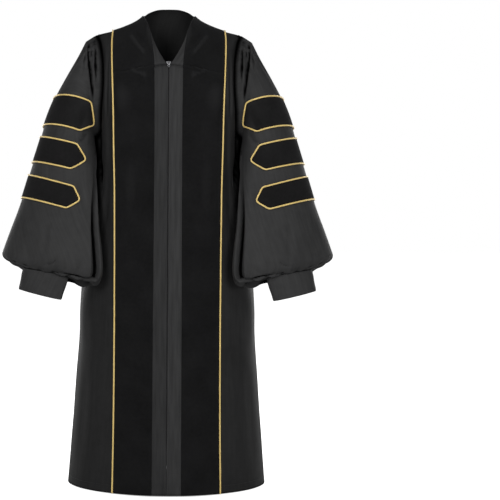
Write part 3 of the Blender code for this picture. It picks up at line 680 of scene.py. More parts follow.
# Smaller creases of a sleeve: those of its front are where the photograph shows them
SLEEVE_CREASES = (
    # gathers of the sleeve's head
    Crease(
        ((0.231, -0.060), (0.2278, -0.0905), (0.2264, -0.1188), (0.2179, -0.1896), (0.2083, -0.2700)),
        0.0062, 0.0105,
    ),
    Crease(((0.219, -0.085), (0.219, -0.110), (0.218, -0.165)), 0.0048, 0.0065),
    Crease(((0.2094, -0.085), (0.2075, -0.140), (0.2030, -0.200)), 0.0048, 0.0075),
    Crease(((0.213, -0.080), (0.2135, -0.130), (0.211, -0.210)), 0.0050, -0.0030),
    Crease(((0.238, -0.090), (0.243, -0.140), (0.246, -0.185)), 0.0070, 0.0032),
    # lines that fan out under the arm and over the bag of the sleeve
    Crease(((0.262, -0.560), (0.256, -0.620), (0.262, -0.690)), 0.014, 0.0018),
    Crease(((0.330, -0.575), (0.342, -0.640), (0.340, -0.700)), 0.016, 0.0018),
    Crease(((0.395, -0.560), (0.415, -0.620), (0.420, -0.680)), 0.015, 0.0018),
    Crease(((0.240, -0.470), (0.236, -0.520), (0.238, -0.580)), 0.012, 0.0016),
    Crease(((0.225, -0.330), (0.236, -0.360), (0.262, -0.372)), 0.012, 0.0030),
    Crease(((0.300, -0.690), (0.318, -0.706), (0.345, -0.716)), 0.006, 0.0030),
    Crease(((0.310, -0.732), (0.275, -0.741), (0.235, -0.750), (0.176, -0.757)), 0.008, 0.0095),
    Crease(((0.300, -0.752), (0.250, -0.766), (0.196, -0.772)), 0.018, 0.0120),
    Crease(((0.232, -0.700), (0.240, -0.722), (0.262, -0.735)), 0.010, 0.0020),
    # the back of the sleeve
    *(Crease(*row, at_back=True) for row in (
        (((0.216, -0.100), (0.226, -0.160), (0.232, -0.240)), 0.008, 0.0050),
        (((0.232, -0.110), (0.246, -0.170), (0.258, -0.220)), 0.007, 0.0036),
        (((0.290, -0.500), (0.300, -0.600), (0.318, -0.700)), 0.014, 0.0036),
        (((0.370, -0.500), (0.388, -0.590), (0.392, -0.680)), 0.013, 0.0032),
        (((0.230, -0.540), (0.238, -0.620), (0.256, -0.710)), 0.013, 0.0030),
    )),
)

# Quarters of a sleeve's ring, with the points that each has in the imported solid
RING_QUARTERS = (
    # turns from, to, points
    (0.0, 90.0, 10),
    (90.0, 180.0, 7),
    (180.0, 270.0, 5),
    (270.0, 360.0, 8),
)

BAR_X = 0.300
BAR_TIP_SHARE = 0.05


@dataclass(frozen=True)
class Bar:
    """A velvet bar of a sleeve, between two planes that rise to the side and towards the front.

    Heights are where those planes cross x = BAR_X in the middle plane of the shoulders.
    """

    top: float
    bottom: float
    side_slope: float
    front_slope: float
    top_corner: float
    low_corner: float
    tip: float
    tip_rise: float
    top_bend: float
    low_bend: float

    def place(self, column: np.ndarray, row: np.ndarray) -> tuple[np.ndarray, np.ndarray]:
        """Where a point of the bar lies.

        Args:
            column: -2 at the back tip, -1 and 1 at the corners, 2 at the front tip.
            row: 1 at the top edge and -1 at the bottom edge.

        Returns:
            The turn, and the level on the scale of the bar's planes.
        """
        along = np.minimum(np.abs(column), 1.0)
        past = np.clip(np.abs(column) - 1, 0.0, 1.0)
        corner = ((1 + row) * self.top_corner + (1 - row) * self.low_corner) / 2
        middle, half = (self.top + self.bottom) / 2, (self.top - self.bottom) / 2
        bend = np.where(row > 0, self.top_bend * row, -self.low_bend * row) * (1 - along) ** 2
        level = (middle + half * row + bend) * (1 - past)
        level = level + (middle + self.tip_rise + half * BAR_TIP_SHARE * row) * past
        return np.sign(column) * (corner * along + (self.tip - corner) * past), level


BARS = (
    Bar(-0.2547, -0.3453, 0.303, 0.270, 106.6, 112.3, 134.6, -0.0072, -0.0044, 0.0022),
    Bar(-0.3779, -0.4473, 0.270, 0.110, 115.4, 111.9, 136.0, 0.0010, 0.0008, -0.0042),
    Bar(-0.4965, -0.5574, 0.288, 0.085, 119.6, 111.7, 129.8, 0.0000, 0.0005, -0.0049),
)

# A cuff, as the outer and inner edge of its top and of its bottom
CUFF = (
    # outer x, y, height, inner x, y, height, half_depth
    (0.4070, -0.086, -0.7230, 0.2720, -0.124, -0.7410, 0.023),
    (0.4110, -0.088, -0.7440, 0.2800, -0.126, -0.7650, 0.024),
    (0.4180, -0.091, -0.7830, 0.2950, -0.129, -0.8100, 0.024),
)


def oval(row: np.ndarray, turn: np.ndarray) -> np.ndarray:
    """Points of an oval ring, from the ends of its long axis and half its depth."""
    outer, inner, depth = row[..., 0:3], row[..., 3:6], row[..., 6:7]
    middle, reach = (outer + inner) / 2, (outer - inner) / 2
    ahead = np.array((0.0, -1.0, 0.0))
    lean = (reach @ ahead)[..., None] / np.sum(reach * reach, axis=-1, keepdims=True)
    forward = unit(ahead - reach * lean)
    angle = np.radians(turn)[..., None]
    return middle + reach * np.cos(angle) + forward * depth * np.sin(angle)


@dataclass(frozen=True)
class SleeveForm:
    """The surface of the left sleeve, from the edge of its armhole to the cuff."""

    armhole: np.ndarray
    gather_start: float = 11.5
    gather_depth: float = 0.0058
    groove_depth: float = 0.024
    groove_half: float = 12.0
    pleat_depth: float = 0.0018
    turn_parts: int = 300
    ring_parts: int = 126

    def turns(self) -> np.ndarray:
        """Turns of the fine grid's columns."""
        return np.arange(self.turn_parts) * 360.0 / self.turn_parts

    def rings(self) -> np.ndarray:
        """Rings of the fine grid's rows."""
        return LAST_RING * packed(self.ring_parts, 0.6)

    def ring_point(self, ring: np.ndarray, turn: np.ndarray) -> np.ndarray:
        """Points of the outer face before its folds. Ring 0 is the armhole."""
        ring, turn = matched(ring, turn)
        held = np.maximum(ring, 1.0)
        row = np.stack([SLEEVE.at(column, held) for column in range(1, 9)], axis=-1)
        point = oval(row, turn)
        point[..., 2] -= row[..., 7] * np.maximum(0.0, -np.sin(np.radians(turn)))
        at = (turn % 360) / 360 * len(self.armhole)
        k = at.astype(int) % len(self.armhole)
        over = (at - at.astype(int))[..., None]
        edge = self.armhole[k] * (1 - over) + self.armhole[(k + 1) % len(self.armhole)] * over
        t = np.clip(ring, 0.0, 1.0)[..., None]
        t = t + 0.45 * t * (1 - t)
        return edge * (1 - t) + point * t

    def normal(self, ring: np.ndarray, turn: np.ndarray) -> np.ndarray:
        """Which way is out of the cloth."""
        across = self.ring_point(ring, turn + 4) - self.ring_point(ring, turn - 4)
        low, high = np.maximum(ring - 0.3, 0.0), np.minimum(ring + 0.3, LAST_RING)
        return unit(np.cross(across, self.ring_point(high, turn) - self.ring_point(low, turn)))

    def folds(self, ring: np.ndarray, turn: np.ndarray) -> np.ndarray:
        """How far the cloth sinks into the folds of its head and along the arm."""
        sunk = np.zeros(np.broadcast(ring, turn).shape)
        for at, first, last, half_width, depth in SLEEVE_FOLDS:
            fade = ease((ring - first) / 1.2) * ease((last - ring) / 1.6)
            sunk += depth * fade * trough(half_turned(turn - at), half_width)
        return sunk

    def groove(self, ring: np.ndarray, turn: np.ndarray) -> np.ndarray:
        """How far the cloth sinks into the deep fold beside the body."""
        fade = ease((ring - 3.5) / 1.5) * ease((13.6 - ring) / 1.4)
        return self.groove_depth * fade * trough(half_turned(turn - GROOVE.at(1, ring)), self.groove_half)

    def pleats(self, ring: np.ndarray, turn: np.ndarray) -> np.ndarray:
        """How far the cloth sinks between the small pleats at the sleeve's head."""
        around = half_turned(turn)
        fall = ease((1.9 + 0.5 * np.sin(np.radians(around * 5)) - ring) / 1.5)
        wave = (1 - np.cos(np.radians(around * 40 + 30 * np.sin(np.radians(around * 4))))) / 2
        return self.pleat_depth * wave**1.5 * fall * ease((62 - np.abs(around)) / 24)

    def gathers(self, ring: np.ndarray, turn: np.ndarray) -> np.ndarray:
        """How far the cloth sinks into the gathers at the cuff."""
        marks, counts = [0.0], [0.0]
        for _, end, points in RING_QUARTERS:
            marks.append(end)
            counts.append(counts[-1] + points)
        count = np.interp(turn % 360, marks, counts)
        uneven = 1 + 0.35 * np.sin(np.radians(3 * turn + 40)) + 0.25 * np.sin(np.radians(7 * turn + 110))
        large = (1 - np.cos(math.pi * count)) / 2 * uneven
        small = (1 - np.cos(3 * math.pi * count + np.sin(np.radians(5 * turn)) * 2)) / 2
        near_cuff = ease((ring - self.gather_start) / 2)
        return near_cuff * self.gather_depth * large + 0.0012 * ease((ring - 12.8) / 2) * small

    def grid(self, turns: np.ndarray, rings: np.ndarray) -> Grid:
        """The sleeve's outer face at these turns and rings."""
        ring, turn = np.meshgrid(rings, turns, indexing="ij")
        points, normals = self.ring_point(ring, turn), self.normal(ring, turn)
        sunk = self.folds(ring, turn) + self.pleats(ring, turn) + self.gathers(ring, turn)
        sunk = sunk + self.groove(ring, turn)
        sunk = sunk + sum(crease.sunk(points, normals) for crease in SLEEVE_CREASES)
        x, z = points[..., 0], points[..., 2]
        sunk = sunk + 0.0008 * np.sin(37 * x + 12 * z) * np.sin(np.radians(3 * turn) + 23 * z)
        sunk = sunk * ease(ring / 0.25)
        return Grid(points - normals * sunk[..., None], normals)


@dataclass
class SleeveFace:
    """The left sleeve's fine grid, with ways to find places on it."""

    form: SleeveForm
    rings: np.ndarray = field(init=False)
    grid: Grid = field(init=False)
    closed: Grid = field(init=False)

    def __post_init__(self) -> None:
        """Makes the grid, and a copy with its first column again at the end."""
        self.rings = self.form.rings()
        self.grid = self.form.grid(self.form.turns(), self.rings)
        self.closed = Grid(
            np.concatenate([self.grid.points, self.grid.points[:, :1]], axis=1),
            np.concatenate([self.grid.normals, self.grid.normals[:, :1]], axis=1),
        )

    def with_allowance(self, width: float = 0.008, depth: float = 0.0028) -> Grid:
        """The grid with a seam allowance before its first ring, turned in under the body."""
        edge, normals = self.grid.points[0], self.grid.normals[0]
        inward = unit(edge - self.grid.points[6])
        folded = edge + inward * width - normals * depth
        close = edge + inward * width * 0.15 - normals * depth * 0.8
        points = np.concatenate([folded[None], close[None], self.grid.points])
        return Grid(points, np.concatenate([normals[None], normals[None], self.grid.normals]))

    def at(self, ring: np.ndarray, turn: np.ndarray) -> Grid:
        """Points and normals at these rings and turns."""
        rows = np.interp(ring, self.rings, np.arange(len(self.rings)))
        return self.closed.at(rows, (turn % 360) / 360 * self.form.turn_parts)

    def ring_on_level(self, bar: Bar, turn: np.ndarray, level: np.ndarray) -> np.ndarray:
        """The rings at which the sleeve comes down to a level on the scale of a bar's planes."""
        above, below = np.full(turn.shape, 0.02), np.full(turn.shape, 12.0)
        for _ in range(24):
            ring = (above + below) / 2
            x, y, z = np.moveaxis(self.at(ring, turn).points, -1, 0)
            height = z - bar.side_slope * (x - BAR_X) + bar.front_slope * y
            above = np.where(height > level, ring, above)
            below = np.where(height > level, below, ring)
        return (above + below) / 2


# Meshes


def mesh_from(
    name: str, points: np.ndarray, faces: np.ndarray, places: np.ndarray | None = None
) -> bpy.types.Mesh:
    """A smooth mesh of four-sided faces.

    Args:
        name: name of the mesh.
        points: its points.
        faces: the four point numbers of each face.
        places: how far along and across the cloth each face's corners lie, in metres.

    Returns:
        The mesh, with the places as its UV map.
    """
    mesh = bpy.data.meshes.new(name)
    mesh.from_pydata(points.reshape(-1, 3).tolist(), [], faces.tolist())
    if places is not None:
        layer = mesh.uv_layers.new(name="cloth")
        layer.data.foreach_set("uv", places.reshape(-1).astype(np.float32))
    mesh.shade_smooth()
    return mesh


def hollows(grid: Grid, closed: bool, start: float = 0.0008, full: float = 0.0028) -> np.ndarray:
    """How deep each point lies against the cloth around it, the mask for painted shade and light.

    Args:
        grid: the outer face of a sheet.
        closed: whether the last column joins the first.
        start: the depth at which the measure leaves 0.
        full: the depth at which it is full.

    Returns:
        For each point a number from 1 in a fold to -1 on a ridge.
    """
    mean = grid.points
    for axis, reach in enumerate(HOLLOW_REACH):
        spread = [(0, 0)] * 3
        spread[axis] = (reach, reach)
        padded = np.pad(mean, spread, mode="wrap" if closed and axis == 1 else "reflect")
        total = np.cumsum(padded, axis=axis)
        total = np.concatenate([np.zeros_like(total.take([0], axis)), total], axis)
        count = grid.points.shape[axis]
        ends = np.arange(count)
        mean = (total.take(ends + 2 * reach + 1, axis) - total.take(ends, axis)) / (2 * reach + 1)
    depth = np.sum((mean - grid.points) * grid.normals, axis=-1)
    return np.sign(depth) * np.clip((np.abs(depth) - start) / (full - start), 0.0, 1.0)


def sheet_mesh(
    name: str, grid: Grid, thickness: float, closed: bool = False, shade: float = 1.0
) -> bpy.types.Mesh:
    """A sheet of cloth with a thickness.

    Args:
        name: name of the mesh.
        grid: its outer face.
        thickness: how far under that its inner face lies.
        closed: whether the last column joins the first.
        shade: how strongly shade is painted into its folds.

    Returns:
        The mesh, with its UV map along and across the cloth and painted shade from the depth of its folds.
    """
    outer = grid.points
    inner = outer - grid.normals * thickness
    rows, columns = outer.shape[:2]
    steps = columns if closed else columns - 1
    wrapped = np.concatenate([outer, outer[:, :1]], axis=1) if closed else outer
    flat = Grid(wrapped, wrapped)
    uv = np.stack([flat.from_edge(Edge.INNER), flat.from_edge(Edge.TOP)], axis=-1)
    i, j = (a.ravel() for a in np.meshgrid(np.arange(rows - 1), np.arange(steps), indexing="ij"))
    over, down = np.arange(steps), np.arange(rows - 1)
    top, low = np.zeros_like(over), np.full_like(over, rows - 1)

    # the four corners of each face, and 1 for those that lie on the inner face
    corners = [
        ([(i, j), (i + 1, j), (i + 1, j + 1), (i, j + 1)], (0, 0, 0, 0)),
        ([(i, j), (i, j + 1), (i + 1, j + 1), (i + 1, j)], (1, 1, 1, 1)),
        ([(top, over), (top, over + 1), (top, over + 1), (top, over)], (0, 0, 1, 1)),
        ([(low, over), (low, over), (low, over + 1), (low, over + 1)], (0, 1, 1, 0)),
    ]
    if not closed:
        start, end = np.zeros_like(down), np.full_like(down, columns - 1)
        corners += [
            ([(down, start), (down, start), (down + 1, start), (down + 1, start)], (0, 1, 1, 0)),
            ([(down, end), (down + 1, end), (down + 1, end), (down, end)], (0, 0, 1, 1)),
        ]
    faces, places = [], []
    for spots, layers in corners:
        numbers = [a * columns + b % columns + k * rows * columns for (a, b), k in zip(spots, layers)]
        faces.append(np.stack(numbers, axis=-1))
        places.append(np.stack([uv[a, b] for a, b in spots], axis=1))
    points = np.concatenate([outer.reshape(-1, 3), inner.reshape(-1, 3)])
    mesh = mesh_from(name, points, np.concatenate(faces), np.concatenate(places))
    # painted shade, from 1 deep in a fold to -1 on a ridge, where the velvet gets painted light
    depth = np.tile(hollows(grid, closed).ravel() * shade, 2)
    mesh.attributes.new("painted_shade", "FLOAT", "POINT").data.foreach_set("value", depth.astype(np.float32))
    return mesh


def cord_mesh(
    name: str, line: np.ndarray, out: np.ndarray, radius: float, sides: int = 14, closed: bool = False
) -> bpy.types.Mesh:
    """A round cord along a line.

    Args:
        name: name of the mesh.
        line: the points of its middle line.
        out: the way out of the cloth at each point.
        radius: the cord's radius.
        sides: how many faces go round it.
        closed: whether it joins its own start.

    Returns:
        The mesh, with its UV map along and round the cord in metres.
    """
    following = np.roll(line, -1, axis=0) if closed else np.concatenate([line[1:], line[-1:]])
    before = np.roll(line, 1, axis=0) if closed else np.concatenate([line[:1], line[:-1]])
    ahead = unit(following - before)
    out = unit(out - ahead * np.sum(out * ahead, axis=-1, keepdims=True))
    across = np.cross(ahead, out)
    width = np.full(len(line), radius)
    if not closed:
        line = np.concatenate([line[:1] - ahead[:1] * 1e-4, line, line[-1:] + ahead[-1:] * 1e-4])
        out, across = (np.concatenate([a[:1], a, a[-1:]]) for a in (out, across))
        width = np.concatenate([[radius * 0.05], width, [radius * 0.05]])
    angle = np.arange(sides) * 2 * math.pi / sides
    cos, sin = np.cos(angle)[None, :, None], np.sin(angle)[None, :, None]
    points = line[:, None] + (out[:, None] * cos + across[:, None] * sin) * width[:, None, None]
    rows = len(line)
    run = np.linalg.norm(np.roll(line, -1, axis=0) - line, axis=-1)
    along = np.concatenate([[0.0], np.cumsum(run)])
    steps = rows if closed else rows - 1
    i, j = (a.ravel() for a in np.meshgrid(np.arange(steps), np.arange(sides), indexing="ij"))
    spots = [(i, j), (i, j + 1), (i + 1, j + 1), (i + 1, j)]
    faces = np.stack([(a % rows) * sides + b % sides for a, b in spots], axis=-1)
    girth = 2 * math.pi * radius / sides
    places = np.stack([np.stack([along[a], b * girth], axis=-1) for a, b in spots], axis=1)
    return mesh_from(name, points, faces, places)


def beads_mesh(
    name: str,
    middles: np.ndarray,
    ahead: np.ndarray,
    out: np.ndarray,
    length: float,
    half_width: float,
    half_height: float,
) -> bpy.types.Mesh:
    """Many small rounded bars in one mesh, such as stitches or the teeth of a zip.

    Args:
        name: name of the mesh.
        middles: the bars' middles.
        ahead: which way each bar lies.
        out: which way is out of the cloth at each.
        length: length of a bar.
        half_width: half a bar's width across the cloth.
        half_height: half a bar's height off the cloth.

    Returns:
        The mesh.
    """
    ahead, out = unit(ahead), unit(out)
    across = np.cross(ahead, out)
    rings = []
    for place, scale in ((-0.5, 0.35), (-0.28, 1.0), (0.28, 1.0), (0.5, 0.35)):
        for side_way, up_way in ((1, 0), (0, 1), (-1, 0), (0, -1)):
            rings.append(
                middles + ahead * length * place
                + across * half_width * side_way * scale + out * half_height * up_way * scale
            )
    points = np.stack(rings, axis=1)
    faces = []
    for first in (0, 4, 8):
        for k in range(4):
            after = first + (k + 1) % 4
            faces.append((first + k, after, after + 4, first + k + 4))
    faces += [(3, 2, 1, 0), (12, 13, 14, 15)]
    every = (np.arange(len(middles)) * 16)[:, None, None] + np.array(faces)[None]
    return mesh_from(name, points, every.reshape(-1, 4))


def spaced(
    line: np.ndarray, other: np.ndarray, pitch: float, closed: bool = False
) -> tuple[np.ndarray, np.ndarray]:
    """A line again, with its points at one distance from each other.

    Args:
        line: points of the line.
        other: another value at each point.
        pitch: about how far apart the new points lie.
        closed: whether the line joins its own start.

    Returns:
        The new points, and the other value at each.
    """
    if closed:
        line, other = np.concatenate([line, line[:1]]), np.concatenate([other, other[:1]])
    along = np.concatenate([[0.0], np.cumsum(np.linalg.norm(np.diff(line, axis=0), axis=-1))])
    count = max(2, round(along[-1] / pitch) + 1)
    at = np.linspace(0, along[-1], count)
    if closed:
        at = at[:-1]

    def read(values: np.ndarray) -> np.ndarray:
        """The values at the new points."""
        return np.stack([np.interp(at, along, values[:, k]) for k in range(3)], axis=-1)

    return read(line), read(other)


# Finishes


Colour = tuple[float, float, float]


def with_alpha(colour: Colour, scale: float = 1.0) -> tuple[float, float, float, float]:
    """The colour made lighter or darker, as a shader socket takes it."""
    return (*(min(1.0, part * scale) for part in colour), 1.0)


class Wiring:
    """Adds nodes to a tree, sets their inputs and joins them."""

    def __init__(self, tree: bpy.types.NodeTree) -> None:
        """Keeps the tree that the nodes go into."""
        self.tree = tree

    def node(self, kind: str, inputs: dict | None = None, **settings: object) -> bpy.types.Node:
        """Adds a shader node.

        Args:
            kind: name of the node's type, without its ShaderNode prefix.
            inputs: numbers, colours or sockets, by the name or number of the input.
            settings: the node's own properties.

        Returns:
            The new node.
        """
        made = self.tree.nodes.new("ShaderNode" + kind)
        for name, value in settings.items():
            setattr(made, name, value)
        return self.fill(made, inputs or {})

    def fill(self, node: bpy.types.Node, inputs: dict) -> bpy.types.Node:
        """Gives a node's inputs their numbers and colours, or joins them to sockets."""
        for name, value in inputs.items():
            if isinstance(value, bpy.types.NodeSocket):
                self.tree.links.new(value, node.inputs[name])
            else:
                node.inputs[name].default_value = value
        return node

    def effect(self, group: bpy.types.NodeTree, inputs: dict) -> bpy.types.NodeSocket:
        """Places a node group with its own values, and gives its result."""
        made = self.tree.nodes.new("ShaderNodeGroup")
        made.node_tree = group
        return self.fill(made, inputs).outputs[0]

    def sums(self, operation: str, *values: object) -> bpy.types.NodeSocket:
        """The result of a Math node."""
        return self.node("Math", dict(enumerate(values)), operation=operation).outputs[0]

    def blend(self, first: object, second: object, share: float) -> bpy.types.NodeSocket:
        """Two numbers added in the shares 1 - share and share."""
        return self.sums("ADD", self.sums("MULTIPLY", first, 1 - share), self.sums("MULTIPLY", second, share))

    def spread(
        self, value: object, low: float, high: float, to_low: float = 0.0, to_high: float = 1.0
    ) -> bpy.types.NodeSocket:
        """A number from the range low to high, spread over another range."""
        inputs = {"Value": value, "From Min": low, "From Max": high, "To Min": to_low, "To Max": to_high}
        return self.node("MapRange", inputs).outputs[0]

    def vectors(self, operation: str, *values: object) -> bpy.types.Node:
        """A Vector Math node."""
        return self.node("VectorMath", dict(enumerate(values)), operation=operation)

    def mixed(self, factor: object, first: object, second: object) -> bpy.types.NodeSocket:
        """A colour between two colours."""
        return self.node("Mix", {0: factor, 6: first, 7: second}, data_type="RGBA").outputs[2]

    def toned(self, mask: object, colour: Colour, low: float, high: float) -> bpy.types.NodeSocket:
        """The colour between two scales of it."""
        return self.mixed(mask, with_alpha(colour, low), with_alpha(colour, high))

    def noise(self, place: object, scale: object, detail: float) -> bpy.types.NodeSocket:
        """Soft noise from 0 to 1."""
        return self.node("TexNoise", {"Vector": place, "Scale": scale, "Detail": detail}).outputs["Fac"]

    def bump(self, height: object, strength: float, distance: float) -> bpy.types.NodeSocket:
        """The normal of a surface with small heights on it."""
        inputs = {"Strength": strength, "Distance": distance, "Height": height}
        return self.node("Bump", inputs).outputs["Normal"]

    def object_place(self) -> bpy.types.NodeSocket:
        """Where a point lies in the frame."""
        return self.node("TexCoord").outputs["Object"]

    def cloth_place(self) -> bpy.types.NodeSocket:
        """Where a point lies on the cloth, in metres."""
        return self.node("UVMap", uv_map="cloth").outputs["UV"]

    def painted_shade(self) -> bpy.types.NodeSocket:
        """Painted shade at a point: 1 deep in a fold or close to other cloth, down to -1 on a ridge."""
        return self.node("Attribute", attribute_name="painted_shade").outputs["Fac"]


class Effects:
    """The node groups that several finishes share."""

    def __init__(self) -> None:
        """Builds each group once."""
        self.mottle = self._mottle()
        self.weave = self._weave()
        self.streaks = self._streaks()

    @staticmethod
    def _group(name: str, result: str, **values: float) -> tuple[Wiring, dict, bpy.types.Node]:
        """A new node group.

        Args:
            name: name of the group.
            result: name of its output.
            values: what each input starts from.

        Returns:
            The wiring in it, its input sockets, and its output node.
        """
        tree = bpy.data.node_groups.new(name, "ShaderNodeTree")
        for label, value in values.items():
            socket = tree.interface.new_socket(name=label, in_out="INPUT", socket_type="NodeSocketFloat")
            socket.default_value = value
        tree.interface.new_socket(name=result, in_out="OUTPUT", socket_type="NodeSocketFloat")
        return Wiring(tree), tree.nodes.new("NodeGroupInput").outputs, tree.nodes.new("NodeGroupOutput")

    def _mottle(self) -> bpy.types.NodeTree:
        """Soft clouds of tone over the cloth, at a broad and a fine scale."""
        wiring, given, end = self._group("soft_mottle", "Mask", Broad=9.0, Fine=60.0)
        place = wiring.object_place()
        broad, fine = wiring.noise(place, given["Broad"], 3.0), wiring.noise(place, given["Fine"], 2.0)
        wiring.fill(end, {"Mask": wiring.spread(wiring.blend(broad, fine, 0.35), 0.3, 0.7)})
        return wiring.tree

    def _weave(self) -> bpy.types.NodeTree:
        """Threads that cross each other."""
        wiring, given, end = self._group("weave", "Height", Threads=900.0)
        turns = wiring.sums("MULTIPLY", given["Threads"], 2 * math.pi)
        scaled = wiring.node("VectorMath", {0: wiring.cloth_place(), "Scale": turns}, operation="SCALE")
        waves = wiring.vectors("SINE", scaled.outputs[0]).outputs[0]
        both = wiring.vectors("DOT_PRODUCT", waves, (0.25, 0.25, 0.0)).outputs["Value"]
        wiring.fill(end, {"Height": wiring.sums("ADD", both, 0.5)})
        return wiring.tree

    def _streaks(self) -> bpy.types.NodeTree:
        """Long faint streaks along the warp, where threads differ in tone."""
        wiring, given, end = self._group("warp_streaks", "Mask", Across=260.0, Along=3.0)
        place = wiring.node("SeparateXYZ", {0: wiring.cloth_place()}).outputs
        across = wiring.sums("MULTIPLY", place["X"], given["Across"])
        along = wiring.sums("MULTIPLY", place["Y"], given["Along"])
        stretched = wiring.node("CombineXYZ", {0: across, 1: along}).outputs[0]
        wiring.fill(end, {"Mask": wiring.spread(wiring.noise(stretched, 1.0, 2.0), 0.3, 0.7)})
        return wiring.tree


def new_material(name: str) -> tuple[bpy.types.Material, Wiring, bpy.types.Node]:
    """An empty material, the wiring in it, and its Principled shader."""
    made = bpy.data.materials.new(name)
    made.use_nodes = True
    return made, Wiring(made.node_tree), made.node_tree.nodes["Principled BSDF"]


@dataclass(frozen=True)
class ClothFinish:
    """Black woven cloth with a soft sheen, with painted shade in its folds and less shine edge on."""

    name: str
    colour: Colour
    spread: float = 0.30
    roughness: float = 0.62
    specular: float = 0.16
    sheen: float = 0.03
    threads: float = 900.0
    streaks: float = 0.4
    # how much shade is painted into the folds, and how dark a tone it paints
    fold_shade_share: float = 0.95
    fold_shade_tone: float = 0.04

    def material(self, effects: Effects) -> bpy.types.Material:
        """The finish as a material."""
        made, wiring, shader = new_material(self.name)
        mottle = wiring.effect(effects.mottle, {"Broad": 8.0, "Fine": 55.0})
        streaks = wiring.effect(effects.streaks, {"Across": 120.0, "Along": 9.0})
        mask = wiring.blend(mottle, streaks, self.streaks)
        colour = wiring.toned(mask, self.colour, 1 - self.spread, 1 + self.spread)
        # painted shade: the colour darkens and the shine fades deep in folds and where the cloth lies close
        # to other cloth
        deep = wiring.sums("MAXIMUM", wiring.painted_shade(), 0.0)
        dark = with_alpha(self.colour, self.fold_shade_tone)
        edge_on = wiring.node("LayerWeight", {"Blend": 0.4}).outputs["Facing"]
        in_open, square_on = wiring.sums("SUBTRACT", 1.0, deep), wiring.sums("SUBTRACT", 1.0, edge_on)
        shine = wiring.sums("MULTIPLY", in_open, square_on)
        weave = wiring.effect(effects.weave, {"Threads": self.threads})
        wiring.fill(shader, {
            "Base Color": wiring.mixed(wiring.sums("MULTIPLY", deep, self.fold_shade_share), colour, dark),
            "Normal": wiring.bump(weave, 0.2, 0.0003),
            "Roughness": self.roughness,
            "Specular IOR Level": wiring.sums("MULTIPLY", shine, self.specular),
            "Sheen Weight": wiring.sums("MULTIPLY", shine, self.sheen),
            "Sheen Roughness": 0.4,
        })
        return made


@dataclass(frozen=True)
class VelvetFinish:
    """Black velvet, with painted sheen that lightens it edge on and painted light on its ridges."""

    name: str
    colour: Colour
    painted_sheen_colour: Colour
    pile: float = 2600.0
    ridge_light_start: float = 0.45
    ridge_light_tone: float = 2.6

    def material(self, effects: Effects) -> bpy.types.Material:
        """The finish as a material."""
        made, wiring, shader = new_material(self.name)
        mottle = wiring.effect(effects.mottle, {"Broad": 14.0, "Fine": 120.0})
        stroked = wiring.toned(mottle, self.colour, 0.75, 1.35)
        # painted light: the colour lightens on the ridges of its creases
        raised = wiring.sums("SUBTRACT", wiring.sums("MULTIPLY", wiring.painted_shade(), -1.0), self.ridge_light_start)
        light = with_alpha(self.colour, self.ridge_light_tone)
        stroked = wiring.mixed(wiring.sums("MAXIMUM", raised, 0.0), stroked, light)
        # painted sheen: the colour lightens where the velvet is seen edge on
        facing = wiring.node("LayerWeight", {"Blend": 0.16}).outputs["Facing"]
        wiring.fill(shader, {
            "Base Color": wiring.mixed(facing, stroked, with_alpha(self.painted_sheen_colour)),
            "Normal": wiring.bump(wiring.noise(wiring.object_place(), self.pile, 1.0), 0.5, 0.0004),
            "Roughness": 0.95,
            "Specular IOR Level": 0.08,
            "Sheen Weight": 0.03,
            "Sheen Roughness": 0.35,
        })
        return made


@dataclass(frozen=True)
class SatinCordFinish:
    """Gold satin laid over a cord, with its threads on the bias."""

    name: str
    colour: Colour
    shade: Colour
    threads: float = 1500.0

    def material(self, effects: Effects) -> bpy.types.Material:
        """The finish as a material."""
        made, wiring, shader = new_material(self.name)
        mottle = wiring.effect(effects.mottle, {"Broad": 40.0, "Fine": 400.0})
        place = wiring.node("SeparateXYZ", {0: wiring.cloth_place()}).outputs
        bias = wiring.sums("ADD", place["X"], place["Y"])
        thread = wiring.sums("SINE", wiring.sums("MULTIPLY", bias, 2 * math.pi * self.threads))
        height = wiring.sums("ADD", wiring.sums("MULTIPLY", thread, 0.5), 0.5)
        tone = wiring.sums("MULTIPLY", wiring.sums("ADD", height, mottle), 0.5)
        wiring.fill(shader, {
            "Base Color": wiring.mixed(tone, with_alpha(self.shade), with_alpha(self.colour)),
            "Normal": wiring.bump(height, 0.3, 0.0002),
            "Roughness": 0.42,
            "Specular IOR Level": 0.6,
            "Sheen Weight": 0.2,
        })
        return made


@dataclass(frozen=True)
class ThreadFinish:
    """Sewing thread, or the nylon of a zip's teeth."""

    name: str
    colour: Colour
    roughness: float = 0.5

    def material(self, effects: Effects) -> bpy.types.Material:
        """The finish as a material."""
        made, wiring, shader = new_material(self.name)
        mottle = wiring.effect(effects.mottle, {"Broad": 90.0, "Fine": 900.0})
        wiring.fill(shader, {
            "Base Color": wiring.toned(mottle, self.colour, 0.8, 1.25),
            "Roughness": self.roughness,
            "Specular IOR Level": 0.3,
        })
        return made


@dataclass(frozen=True)
class MetalFinish:
    """Bright nickel plate with a faint brushed tone."""

    name: str
    colour: Colour

    def material(self, effects: Effects) -> bpy.types.Material:
        """The finish as a material."""
        made, wiring, shader = new_material(self.name)
        mottle = wiring.effect(effects.mottle, {"Broad": 300.0, "Fine": 2500.0})
        wiring.fill(shader, {
            "Base Color": wiring.toned(mottle, self.colour, 0.86, 1.08),
            "Roughness": wiring.spread(mottle, 0.0, 1.0, 0.20, 0.34),
            "Metallic": 1.0,
        })
        return made


